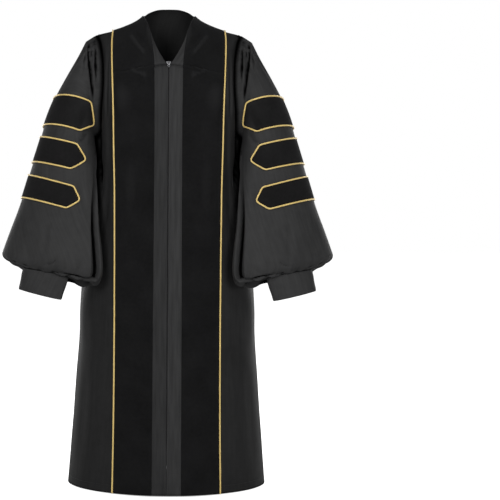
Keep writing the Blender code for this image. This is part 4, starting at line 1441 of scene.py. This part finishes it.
@dataclass(frozen=True)
class Wardrobe:
    """Every material of the gown, each made once."""

    body: bpy.types.Material
    sleeve: bpy.types.Material
    placket_left: bpy.types.Material
    placket_right: bpy.types.Material
    velvet: bpy.types.Material
    bar_velvet: bpy.types.Material
    gold: bpy.types.Material
    tape: bpy.types.Material
    teeth: bpy.types.Material
    thread: bpy.types.Material
    metal: bpy.types.Material

    @classmethod
    def make(cls) -> "Wardrobe":
        """Builds the shared effects and every finish."""
        finishes = {
            # one black cloth in four tones of painted light and shade for how light falls on each piece: the
            # body darkest, the right placket darker than the left
            "body": ClothFinish("black_cloth_body_shaded", (0.0150, 0.0150, 0.0152)),
            "sleeve": ClothFinish("black_cloth_sleeve_lit", (0.0300, 0.0300, 0.0304)),
            "placket_left": ClothFinish("black_cloth_placket_left", (0.0300, 0.0300, 0.0305), streaks=0.8),
            "placket_right": ClothFinish("black_cloth_placket_right", (0.0235, 0.0235, 0.0240), streaks=0.8),
            "velvet": VelvetFinish("black_velvet", (0.0080, 0.0080, 0.0083), (0.020, 0.020, 0.021)),
            "bar_velvet": VelvetFinish("black_velvet_bars", (0.0098, 0.0096, 0.0098), (0.022, 0.021, 0.022)),
            "gold": SatinCordFinish("gold_satin", (0.92, 0.70, 0.26), (0.66, 0.44, 0.11)),
            "tape": ClothFinish("zip_tape_weave", (0.012, 0.012, 0.013), threads=1600.0),
            "teeth": ThreadFinish("black_nylon", (0.010, 0.010, 0.011), 0.35),
            "thread": ThreadFinish("black_thread", (0.024, 0.024, 0.026)),
            "metal": MetalFinish("nickel_plate", (0.46, 0.46, 0.48)),
        }
        effects = Effects()
        return cls(**{use: finish.material(effects) for use, finish in finishes.items()})


# Pieces of the gown


def add_piece(
    name: str,
    mesh: bpy.types.Mesh,
    finish: bpy.types.Material,
    replaces: tuple[str, ...] = (),
    body: str = "gown",
) -> bpy.types.Object:
    """Puts a mesh in the scene as a piece of the gown.

    Args:
        name: name of the piece.
        mesh: its mesh.
        finish: its material.
        replaces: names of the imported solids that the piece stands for.
        body: the body that it rides on.

    Returns:
        The new object.
    """
    made = bpy.data.objects.new(name, mesh)
    made.data.materials.append(finish)
    bpy.context.scene.collection.objects.link(made)
    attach(made, body)
    if replaces:
        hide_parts(*replaces)
    LOG.info("%s: %d faces", name, len(mesh.polygons))
    return made


def points_of(piece: bpy.types.Object) -> np.ndarray:
    """The points of a piece's mesh."""
    flat = np.empty(len(piece.data.vertices) * 3)
    piece.data.vertices.foreach_get("co", flat)
    return flat.reshape(-1, 3)


def shade_where_close(
    piece: bpy.types.Object, other: bpy.types.Object, near: float = 0.0045, far: float = 0.0135
) -> None:
    """Paints shade into a piece of cloth where it lies close to another, as between a sleeve and the body.

    Args:
        piece: the piece whose points are marked.
        other: the piece that it lies close to.
        near: the distance up to which the mark is full.
        far: the distance at which it ends.
    """
    points, others = points_of(piece), points_of(other)
    tree = KDTree(len(others))
    for k, point in enumerate(others):
        tree.insert(point, k)
    tree.balance()
    low, high = others.min(axis=0) - far, others.max(axis=0) + far
    close = np.flatnonzero(np.all((points > low) & (points < high), axis=1))
    away = np.array([tree.find(points[k])[2] for k in close])
    layer = piece.data.attributes["painted_shade"].data
    marks = np.empty(len(points))
    layer.foreach_get("value", marks)
    marks[close] = np.maximum(marks[close], np.clip((far - away) / (far - near), 0.0, 1.0))
    layer.foreach_set("value", marks)


def add_sheet(
    name: str,
    grid: Grid,
    cut: str,
    hold: Hold,
    finish: bpy.types.Material,
    replaces: str,
    thickness: float = CLOTH,
    closed: bool = False,
    shade: float = 1.0,
) -> None:
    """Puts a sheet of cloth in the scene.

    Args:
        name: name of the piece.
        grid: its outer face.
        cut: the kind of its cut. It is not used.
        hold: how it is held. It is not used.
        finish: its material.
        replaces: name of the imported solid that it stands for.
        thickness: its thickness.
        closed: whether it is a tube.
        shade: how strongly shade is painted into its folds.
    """
    piece = add_piece(name, sheet_mesh(name, grid, thickness, closed, shade), finish, (replaces,))


@dataclass
class Stitching:
    """Rows of straight stitches, drawn down into the cloth between them."""

    wardrobe: Wardrobe
    pitch: float = 0.0034
    length: float = 0.0026
    half_width: float = 0.00032
    half_height: float = 0.00026
    lift: float = 0.0001

    def sew(self, name: str, lines: list[Grid], closed: bool = False) -> None:
        """Sews along lines on the cloth.

        Args:
            name: name of the piece.
            lines: points and normals of each line.
            closed: whether each line joins its own start.
        """
        middles, ways, outs = [], [], []
        for line in lines:
            points, out = spaced(line.points, line.normals, self.pitch, closed)
            if closed:
                points, out = np.concatenate([points, points[:1]]), np.concatenate([out, out[:1]])
            middles.append((points[1:] + points[:-1]) / 2)
            ways.append(points[1:] - points[:-1])
            outs.append(unit(out[1:] + out[:-1]))
        middle, way, out = (np.concatenate(parts) for parts in (middles, ways, outs))
        mesh = beads_mesh(
            name, middle + out * self.lift, way, out, self.length, self.half_width, self.half_height
        )
        add_piece(name, mesh, self.wardrobe.thread)


@dataclass
class GownBody:
    """The back, the fronts, their plackets and neck facings, and the velvet and piping on them."""

    form: BodyForm
    wardrobe: Wardrobe
    hem_depth: float = 0.022
    placket_stitches: tuple[float, float] = (0.0060, 0.034)
    piping_step: float = 0.004
    front: Grid = field(init=False)
    back: Grid = field(init=False)

    def __post_init__(self) -> None:
        """Makes the two master grids that every layer is cut from."""
        self.front = self.form.front()
        self.back = self.form.back()

    def build(self) -> None:
        """Makes every piece of the body."""
        back = self._hemmed(self.back.rolled(0.0012, 0.004, Edge.INNER, Edge.OUTER, Edge.TOP))
        add_sheet("back_panel", back, "back", Hold.HUNG, self.wardrobe.body, "back", shade=0.35)
        for side in Side:
            self._build_front(side)
            self._build_velvet(side)
            self._build_piping(side)

    def _hemmed(self, grid: Grid) -> Grid:
        """The grid with the slight dip that its hem's stitches draw in the cloth."""
        away = grid.from_edge(Edge.BOTTOM)
        return grid.moved_out(-0.0005 * trough(away - self.hem_depth, 0.006))

    def _build_front(self, side: Side) -> None:
        """The front, placket and neck facing of a side."""
        hem, seam = self.form.row(HEM_ROW), self.form.row(CHEST_SEAM_ROW)
        under, last = self.form.column(2), self.form.column(4)
        body = self.wardrobe.body
        # the left placket has the lighter of the two painted tones
        placket = self.wardrobe.placket_left if side is Side.LEFT else self.wardrobe.placket_right
        top, bottom, inner, outer = Edge
        parts = (
            # kind, rows, columns, edges at a seam, edges turned in, finish
            ("front", (0, hem), (under, last), (inner,), (top, outer), body),
            ("placket", (seam, hem), (0, under), (top, outer), (top, inner), placket),
            ("neck_facing", (0, seam), (0, under), (bottom, outer), (bottom, inner), placket),
        )
        for kind, rows, columns, seams, turned, finish in parts:
            grid = self.front.part(rows, columns).drawn_in(*seams).rolled(0.0008, 0.0030, *turned)
            if kind != "neck_facing":
                grid = self._hemmed(grid)
            name = f"{kind}_panel_{side.word}"
            add_sheet(name, grid.on(side), kind, Hold.HUNG, finish, f"{kind}_{side.word}")

    def _build_velvet(self, side: Side) -> None:
        """The velvet of a side, above and below the chest seam."""
        hem, seam = self.form.row(HEM_ROW), self.form.row(CHEST_SEAM_ROW)
        columns = (self.form.column(1), self.form.column(3))
        over = self.front.moved_out(LAYER_GAP + VELVET)
        for kind, rows, cut in (
            ("velvet_front", (seam, hem), Edge.TOP),
            ("velvet_yoke", (0, seam), Edge.BOTTOM),
        ):
            grid = over.part(rows, columns).rolled(0.0004, 0.0025, cut).rolled(0.0007, 0.0030, Edge.INNER)
            name = f"{kind}_panel_{side.word}"
            add_sheet(
                name, grid.on(side), kind, Hold.LAID, self.wardrobe.velvet, f"{kind}_{side.word}",
                VELVET,
            )

    def _build_piping(self, side: Side) -> None:
        """The gold piping along the outer edge of a side's velvet."""
        share = self.form.shares()
        x = self.form.x_on_line(PIPING_LINE, share)
        turns = self.form.turn_at(x, share)[:, None]
        line = self.form.grid(turns, share, -SEAM_GAP / 2).moved_out(PIPING_RADIUS + LAYER_GAP)
        points, out = spaced(line.points[:, 0], line.normals[:, 0], self.piping_step)
        name = f"gold_piping_{side.word}"
        mesh = cord_mesh(name, points * side.flip, out * side.flip, PIPING_RADIUS)
        add_piece(name, mesh, self.wardrobe.gold, (f"piping_front_{side.word}",))

    def armhole(self) -> np.ndarray:
        """The armhole's edge: from the shoulder down the front to the armpit, and up the back."""
        row = self.form.row(ARMPIT_ROW)
        down = self.front.points[: row + 1, -1]
        up = self.back.points[1:row, 0][::-1]
        return np.concatenate([down, up]) + np.array((SEAM_GAP, 0.0, 0.0))

    def sew(self, stitching: Stitching) -> None:
        """Sews the hem and the edges of the plackets."""
        away = self.front.from_edge(Edge.BOTTOM)
        hem_row = int(np.argmin(np.abs(away[:, 5] - self.hem_depth)))
        hem = [self.back.row(hem_row)]
        columns = (self.form.column(2), self.form.column(4))
        share = self.form.shares()[self.form.row(CHEST_SEAM_ROW) + 2:self.form.row(HEM_ROW) - 1]
        inner = self.form.x_on_line(NECKLINE, share)
        for side in Side:
            hem.append(self.front.part((hem_row, hem_row + 1), columns).on(side).row(0))
            lines = []
            for inset in self.placket_stitches:
                turns = self.form.turn_at(inner + inset, share)[:, None]
                lines.append(self.form.grid(turns, share).on(side).column(0))
            stitching.sew(f"placket_stitches_{side.word}", lines)
        stitching.sew("hem_stitches", hem)


@dataclass
class Sleeve:
    """A sleeve with its cuff, velvet bars and their piping."""

    face: SleeveFace
    side: Side
    wardrobe: Wardrobe
    cuff_points: int = 168
    cuff_rows: int = 26
    cuff_stitch_row: int = 5
    piping_step: float = 0.0028

    def build(self) -> None:
        """Makes every piece of the sleeve."""
        word = self.side.word
        cloth = self.face.with_allowance().rolled(0.0010, 0.004, Edge.BOTTOM)
        cuff = self._cuff_grid().rolled(0.0010, 0.004, Edge.TOP, Edge.BOTTOM)
        for name, grid, cut, hold in (
            ("sleeve_cloth", cloth, "sleeve", Hold.GATHERED),
            ("cuff_band", cuff, "cuff", Hold.HUNG),
        ):
            add_sheet(
                f"{name}_{word}", grid.on(self.side), cut, hold, self.wardrobe.sleeve, f"{cut}_{word}",
                closed=True,
            )
        for number, bar in enumerate(BARS, start=1):
            self._build_bar(number, bar)

    def _cuff_grid(self) -> Grid:
        """The outer face of the left cuff."""
        table = np.array(CUFF)
        at = packed(self.cuff_rows, 0.5) * 2
        rows = np.stack([np.interp(at, (0, 1, 2), table[:, k]) for k in range(7)], axis=-1)[:, None]
        turn = np.arange(self.cuff_points) * 360 / self.cuff_points
        turn = np.broadcast_to(turn, (len(at), self.cuff_points))
        points = oval(rows, turn)
        across = oval(rows, turn + 4) - oval(rows, turn - 4)
        along = oval(table[2], turn) - oval(table[0], turn)
        soft = 0.0006 * np.sin(np.radians(4 * turn) + 90 * points[..., 2])
        return Grid(points, unit(np.cross(across, along))).moved_out(-np.abs(soft))

    def _build_bar(self, number: int, bar: Bar) -> None:
        """A velvet bar and the piping round it."""
        word = self.side.word
        taper = 1 + packed(14, 0.5)
        columns = np.concatenate([-taper[::-1], np.linspace(-1, 1, 110)[1:-1], taper])
        rows = 1 - 2 * packed(18, 0.7)
        column, row = np.meshgrid(columns, rows)
        turn, level = bar.place(column, row)
        grid = self.face.at(self.face.ring_on_level(bar, turn, level), turn).moved_out(BAR_LAYER_GAP + VELVET)
        name = f"velvet_bar_{number}_{word}"
        add_sheet(
            name, grid.rolled(0.0009, 0.0025, *Edge).on(self.side), f"bar_{number}", Hold.LAID,
            self.wardrobe.bar_velvet, f"bar_{number}_{word}", VELVET,
        )
        line, flip = self._outline(grid), self.side.flip
        name = f"gold_bar_piping_{number}_{word}"
        mesh = cord_mesh(name, line.points * flip, line.normals * flip, BAR_PIPING_RADIUS, closed=True)
        add_piece(name, mesh, self.wardrobe.gold, (f"bar_piping_{number}_{word}",))

    def _outline(self, grid: Grid) -> Grid:
        """The middle line of the piping round a bar, which runs beside each edge of it."""
        line, way = (
            np.concatenate([values[0, :-1], values[:-1, -1], values[-1, :0:-1], values[:0:-1, 0]])
            for values in (grid.points, grid.normals)
        )
        points, out = spaced(line, way, self.piping_step, closed=True)
        out = unit(out)
        ahead = unit(np.roll(points, -1, axis=0) - np.roll(points, 1, axis=0))
        beside = unit(np.cross(ahead, out))
        middle = points.mean(axis=0)
        if np.sum(beside * (points - middle)) < 0:
            beside = -beside
        points = points + beside * (BAR_PIPING_RADIUS + SEAM_GAP) + out * (BAR_PIPING_RADIUS - VELVET)
        return Grid(softened(points, 2), out)

    def sew(self, stitching: Stitching) -> None:
        """Sews two lines round the cuff."""
        grid = self._cuff_grid().on(self.side)
        lines = [grid.row(k) for k in (self.cuff_stitch_row, self.cuff_rows + 1 - self.cuff_stitch_row)]
        stitching.sew(f"cuff_stitches_{self.side.word}", lines, closed=True)


@dataclass
class Zip:
    """The zip behind the plackets, its slider and the slider's pull tab."""

    form: BodyForm
    wardrobe: Wardrobe
    tape_edge: float = 0.0004
    tape_width: float = 0.0130
    tape: float = 0.0012
    tooth_pitch: float = 0.0016
    tooth_place: float = 0.0007
    tooth_length: float = 0.0026
    tooth_half: float = 0.0005
    slider_height: float = -0.1510
    plate: float = 0.0022
    gap: float = 0.0006
    hinge: Vector = field(default_factory=lambda: Vector((0.0, -0.128667, -0.149701)))

    def build(self) -> None:
        """Makes the tapes, their teeth, the slider and the pull tab."""
        first, last = self.form.row(CHEST_SEAM_ROW) + 2, self.form.row(ZIP_END_ROW)
        share = self.form.shares()[first:last + 1]
        for side in Side:
            self._build_tape(side, share)
            self._build_teeth(side, share)
        self._build_slider()

    def _strip(self, x: np.ndarray, share: np.ndarray) -> Grid:
        """A strip of the body's face at these distances from the middle."""
        turns = self.form.turn_at(np.broadcast_to(x, (len(share), len(x))), share[:, None])
        return self.form.grid(turns, share)

    def _build_tape(self, side: Side, share: np.ndarray) -> None:
        """The woven tape under a placket."""
        x = np.linspace(self.tape_edge, self.tape_width, 9)
        grid = self._strip(x, share).moved_out(-CLOTH - LAYER_GAP).on(side)
        name = f"zip_tape_weave_{side.word}"
        add_sheet(
            name, grid, "zip_tape", Hold.HUNG, self.wardrobe.tape, f"zip_tape_{side.word}",
            self.tape,
        )

    def _build_teeth(self, side: Side, share: np.ndarray) -> None:
        """The coil of teeth that shows as a thin line between the plackets."""
        line = self._strip(np.array((self.tooth_place,)), share)
        points, out = spaced(line.points[:, 0], line.normals[:, 0], self.tooth_pitch)
        if side is Side.RIGHT:
            points, out = (points[1:] + points[:-1]) / 2, unit(out[1:] + out[:-1])
        points = points * side.flip - out * side.flip * (CLOTH + 0.0001)
        ahead = np.tile(np.array((1.0, 0.0, 0.0)), (len(points), 1))
        name = f"zip_teeth_{side.word}"
        half = self.tooth_half
        mesh = beads_mesh(name, points, ahead, out * side.flip, self.tooth_length, half, half)
        add_piece(name, mesh, self.wardrobe.teeth)

    def _build_slider(self) -> None:
        """The slider and its pull tab."""
        share = 0.0
        for _ in range(12):
            share += (float(self.form.height(0.0, share)) - self.slider_height) / self.form.length
        here, below = (Vector(self.form.point(0.0, s).tolist()) for s in (share, share + 0.008))
        down = (below - here).normalized()
        out = Vector((0, down.z, -down.y))
        side = Vector((1, 0, 0))
        lay = Matrix((side, -down, out)).transposed().to_4x4()
        shape = bmesh.new()
        self._add_plate(shape, Matrix.Translation(here + out * (self.gap + self.plate / 2)) @ lay)
        stand = Matrix((-down, out, side)).transposed().to_4x4()
        self._add_bridge(shape, Matrix.Translation(here + out * (self.gap + self.plate)) @ stand)
        bmesh.ops.recalc_face_normals(shape, faces=shape.faces)
        mesh = bpy.data.meshes.new("slider")
        shape.to_mesh(mesh)
        shape.free()
        mesh.shade_smooth()
        mesh.set_sharp_from_angle(angle=math.radians(40))
        add_piece("slider", mesh, self.wardrobe.metal, ("zip_slider",))
        self._build_tab(side, down, out)

    @staticmethod
    def _extrude(
        shape: bmesh.types.BMesh, outline: list, thickness: float, matrix: Matrix, bevel: float
    ) -> None:
        """Adds a flat outline with a thickness on both sides of its plane, its edges rounded."""
        low, high = (
            [shape.verts.new(matrix @ Vector((x, y, z))) for x, y in outline]
            for z in (-thickness / 2, thickness / 2)
        )
        count = len(outline)
        faces = [shape.faces.new(low[::-1]), shape.faces.new(high)]
        for k in range(count):
            after = (k + 1) % count
            faces.append(shape.faces.new((low[k], low[after], high[after], high[k])))
        edges = list(dict.fromkeys(edge for face in faces for edge in face.edges))
        bmesh.ops.bevel(shape, geom=edges, offset=bevel, segments=2, affect="EDGES", profile=0.6)

    def _add_plate(self, shape: bmesh.types.BMesh, matrix: Matrix) -> None:
        """The slider's front plate: wide shoulders at the top, drawn in to a narrow foot."""
        top, low, half = 0.0065, 0.0031, 0.0065
        right = [(top - 0.0012, half), (top, half - 0.0014), (top - 0.0004, half - 0.0040),
                 (low, -half + 0.0030), (low - 0.0008, -half)]
        raised = [(0.0044, 0.0046), (0.0038, 0.0010), (0.0020, -0.0046)]
        lifted = matrix @ Matrix.Translation((0, 0, self.plate / 2))
        for half_outline, thickness, place, bevel in (
            (right, self.plate, matrix, 0.0004),
            (raised, 0.0006, lifted, 0.00015),
        ):
            outline = half_outline + [(-x, y) for x, y in reversed(half_outline)]
            self._extrude(shape, outline[::-1], thickness, place, bevel)

    def _add_bridge(self, shape: bmesh.types.BMesh, matrix: Matrix) -> None:
        """The arch over the plate that holds the tab."""
        steps, half, reach, wall = 12, 0.0040, 0.0046, 0.0011
        outer, inner = [], []
        for k in range(steps + 1):
            angle = math.pi * k / steps
            outer.append((half * math.cos(angle), reach * math.sin(angle) ** 0.6))
            inner.append(((half - wall) * math.cos(angle), (reach - wall) * math.sin(angle) ** 0.6))
        foot = -self.plate / 2
        outer = [(outer[0][0], foot)] + outer + [(outer[-1][0], foot)]
        inner = [(inner[0][0], foot)] + inner + [(inner[-1][0], foot)]
        self._extrude(shape, outer + inner[::-1], 0.0020, matrix, 0.0002)

    def _build_tab(self, side: Vector, down: Vector, out: Vector) -> None:
        """The wire loop of the pull tab, which hangs from the bridge on its hinge."""
        wide, narrow, length = 0.0030, 0.0024, 0.0110
        marks = ((-wide, 0), (wide, 0), (narrow, length * 0.75), (narrow * 0.5, length),
                 (-narrow * 0.5, length), (-narrow, length * 0.75))
        loop = np.array([self.hinge + side * x + down * fall for x, fall in marks])
        face = np.tile(np.array(out), (len(loop), 1))
        points, outs = spaced(loop, face, 0.0005, closed=True)
        mesh = cord_mesh("pull_tab", softened(points, 3), outs, 0.0007, sides=10, closed=True)
        add_piece("pull_tab", mesh, self.wardrobe.metal, ("zip_pull_tab",), body="zip_pull")


@dataclass
class Studio:
    """A plain pale floor, soft light, and a camera at the photograph's angle."""

    distance: float = 3.5
    eye_height: float = -0.515
    lens: float = 87.3
    shift: tuple[float, float] = (0.1640, -0.111)
    roll: float = -0.35
    floor_height: float = -1.3440
    floor_reach: float = 14.0
    aim: tuple[float, float, float] = (0.0, 0.0, -0.75)
    ambient: float = 0.24
    # the middle and half widths of the painted shadow on the floor
    shadow_middle: tuple[float, float] = (0.0, 0.035)
    shadow_radii: tuple[float, float] = (0.283, 0.221)

    def build(self) -> None:
        """Makes the floor, the lights, the surroundings and the camera."""
        self._add_floor()
        self._add_world()
        for name, place, size, energy in (
            # two soft lights from the upper front, one from each side, and one from behind
            ("key_light", (-1.5, -2.9, 0.9), 1.4, 52.0),
            ("fill_light", (1.7, -2.9, 0.3), 1.6, 40.0),
            ("left_light", (2.1, 2.1, -0.5), 1.5, 46.0),
            ("right_light", (-2.1, 2.1, -0.5), 1.5, 46.0),
            ("back_light", (0.4, 2.6, 1.4), 1.8, 40.0),
        ):
            self._add_light(name, Vector(place), size, energy)
        self._add_camera()

    def _add_floor(self) -> None:
        """A wide pale floor just under the hem, with a painted shadow where its glow stops under the gown."""
        reach, z = self.floor_reach, self.floor_height
        mesh = bpy.data.meshes.new("floor")
        corners = [(-reach, -reach, z), (reach, -reach, z), (reach, reach, z), (-reach, reach, z)]
        mesh.from_pydata(corners, [], [(0, 1, 2, 3)])
        floor = bpy.data.objects.new("floor", mesh)
        bpy.context.scene.collection.objects.link(floor)
        made, wiring, shader = new_material("pale_floor")
        seen = wiring.node("LightPath").outputs["Is Camera Ray"]
        # painted shadow: the floor's glow is cut off inside an ellipse under the gown
        (x, y), (half_x, half_y) = self.shadow_middle, self.shadow_radii
        place = wiring.vectors("SUBTRACT", wiring.object_place(), (x, y, 0.0)).outputs[0]
        place = wiring.vectors("MULTIPLY", place, (1 / half_x, 1 / half_y, 0.0)).outputs[0]
        away = wiring.vectors("LENGTH", place).outputs["Value"]
        glow, beyond_painted_shadow = wiring.spread(seen, 0.0, 1.0, 0.05, 1.0), wiring.spread(away, 0.90, 0.99)
        wiring.fill(shader, {
            "Base Color": (0.55, 0.55, 0.55, 1.0),
            "Roughness": 0.9,
            "Specular IOR Level": 0.1,
            "Emission Color": (1.0, 1.0, 1.0, 1.0),
            "Emission Strength": wiring.sums("MULTIPLY", glow, beyond_painted_shadow),
        })
        mesh.materials.append(made)

    def _add_world(self) -> None:
        """Even white surroundings."""
        scene = bpy.context.scene
        world = bpy.data.worlds.new("white_studio")
        world.use_nodes = True
        wiring = Wiring(world.node_tree)
        seen = wiring.node("LightPath").outputs["Is Camera Ray"]
        wiring.fill(world.node_tree.nodes["Background"], {
            "Color": (1.0, 1.0, 1.0, 1.0),
            "Strength": wiring.spread(seen, 0.0, 1.0, self.ambient, 1.0),
        })
        scene.world = world
        scene.view_settings.view_transform = "Standard"

    def _add_light(self, name: str, place: Vector, size: float, energy: float) -> None:
        """A square soft light that faces the gown."""
        lamp = bpy.data.lights.new(name, "AREA")
        lamp.energy, lamp.size = energy, size
        light = bpy.data.objects.new(name, lamp)
        light.location = place
        light.rotation_euler = (Vector(self.aim) - place).to_track_quat("-Z", "Y").to_euler()
        bpy.context.scene.collection.objects.link(light)

    def _add_camera(self) -> None:
        """The camera, level with the chest and facing the gown squarely."""
        data = bpy.data.cameras.new("front_camera")
        data.lens, data.sensor_width = self.lens, 36.0
        data.shift_x, data.shift_y = self.shift
        camera = bpy.data.objects.new("front_camera", data)
        camera.location = (0.0, -self.distance, self.eye_height)
        camera.rotation_euler = (math.radians(90), math.radians(self.roll), 0.0)
        bpy.context.scene.collection.objects.link(camera)
        bpy.context.scene.camera = camera


def main() -> None:
    """Builds the gown and its studio."""
    logging.basicConfig(level=logging.INFO, format="%(name)s: %(message)s")
    wardrobe = Wardrobe.make()
    form = BodyForm()
    stitching = Stitching(wardrobe)
    gown = GownBody(form, wardrobe)
    gown.build()
    gown.sew(stitching)
    face = SleeveFace(SleeveForm(gown.armhole()))
    for side in Side:
        sleeve = Sleeve(face, side, wardrobe)
        sleeve.build()
        sleeve.sew(stitching)
        cloth = bpy.data.objects[f"sleeve_cloth_{side.word}"]
        # painted shade where each sleeve and the body lie close together
        for name in (f"front_panel_{side.word}", "back_panel"):
            shade_where_close(bpy.data.objects[name], cloth)
            shade_where_close(cloth, bpy.data.objects[name])
    Zip(form, wardrobe).build()
    Studio().build()


if __name__ == "__main__":
    main()
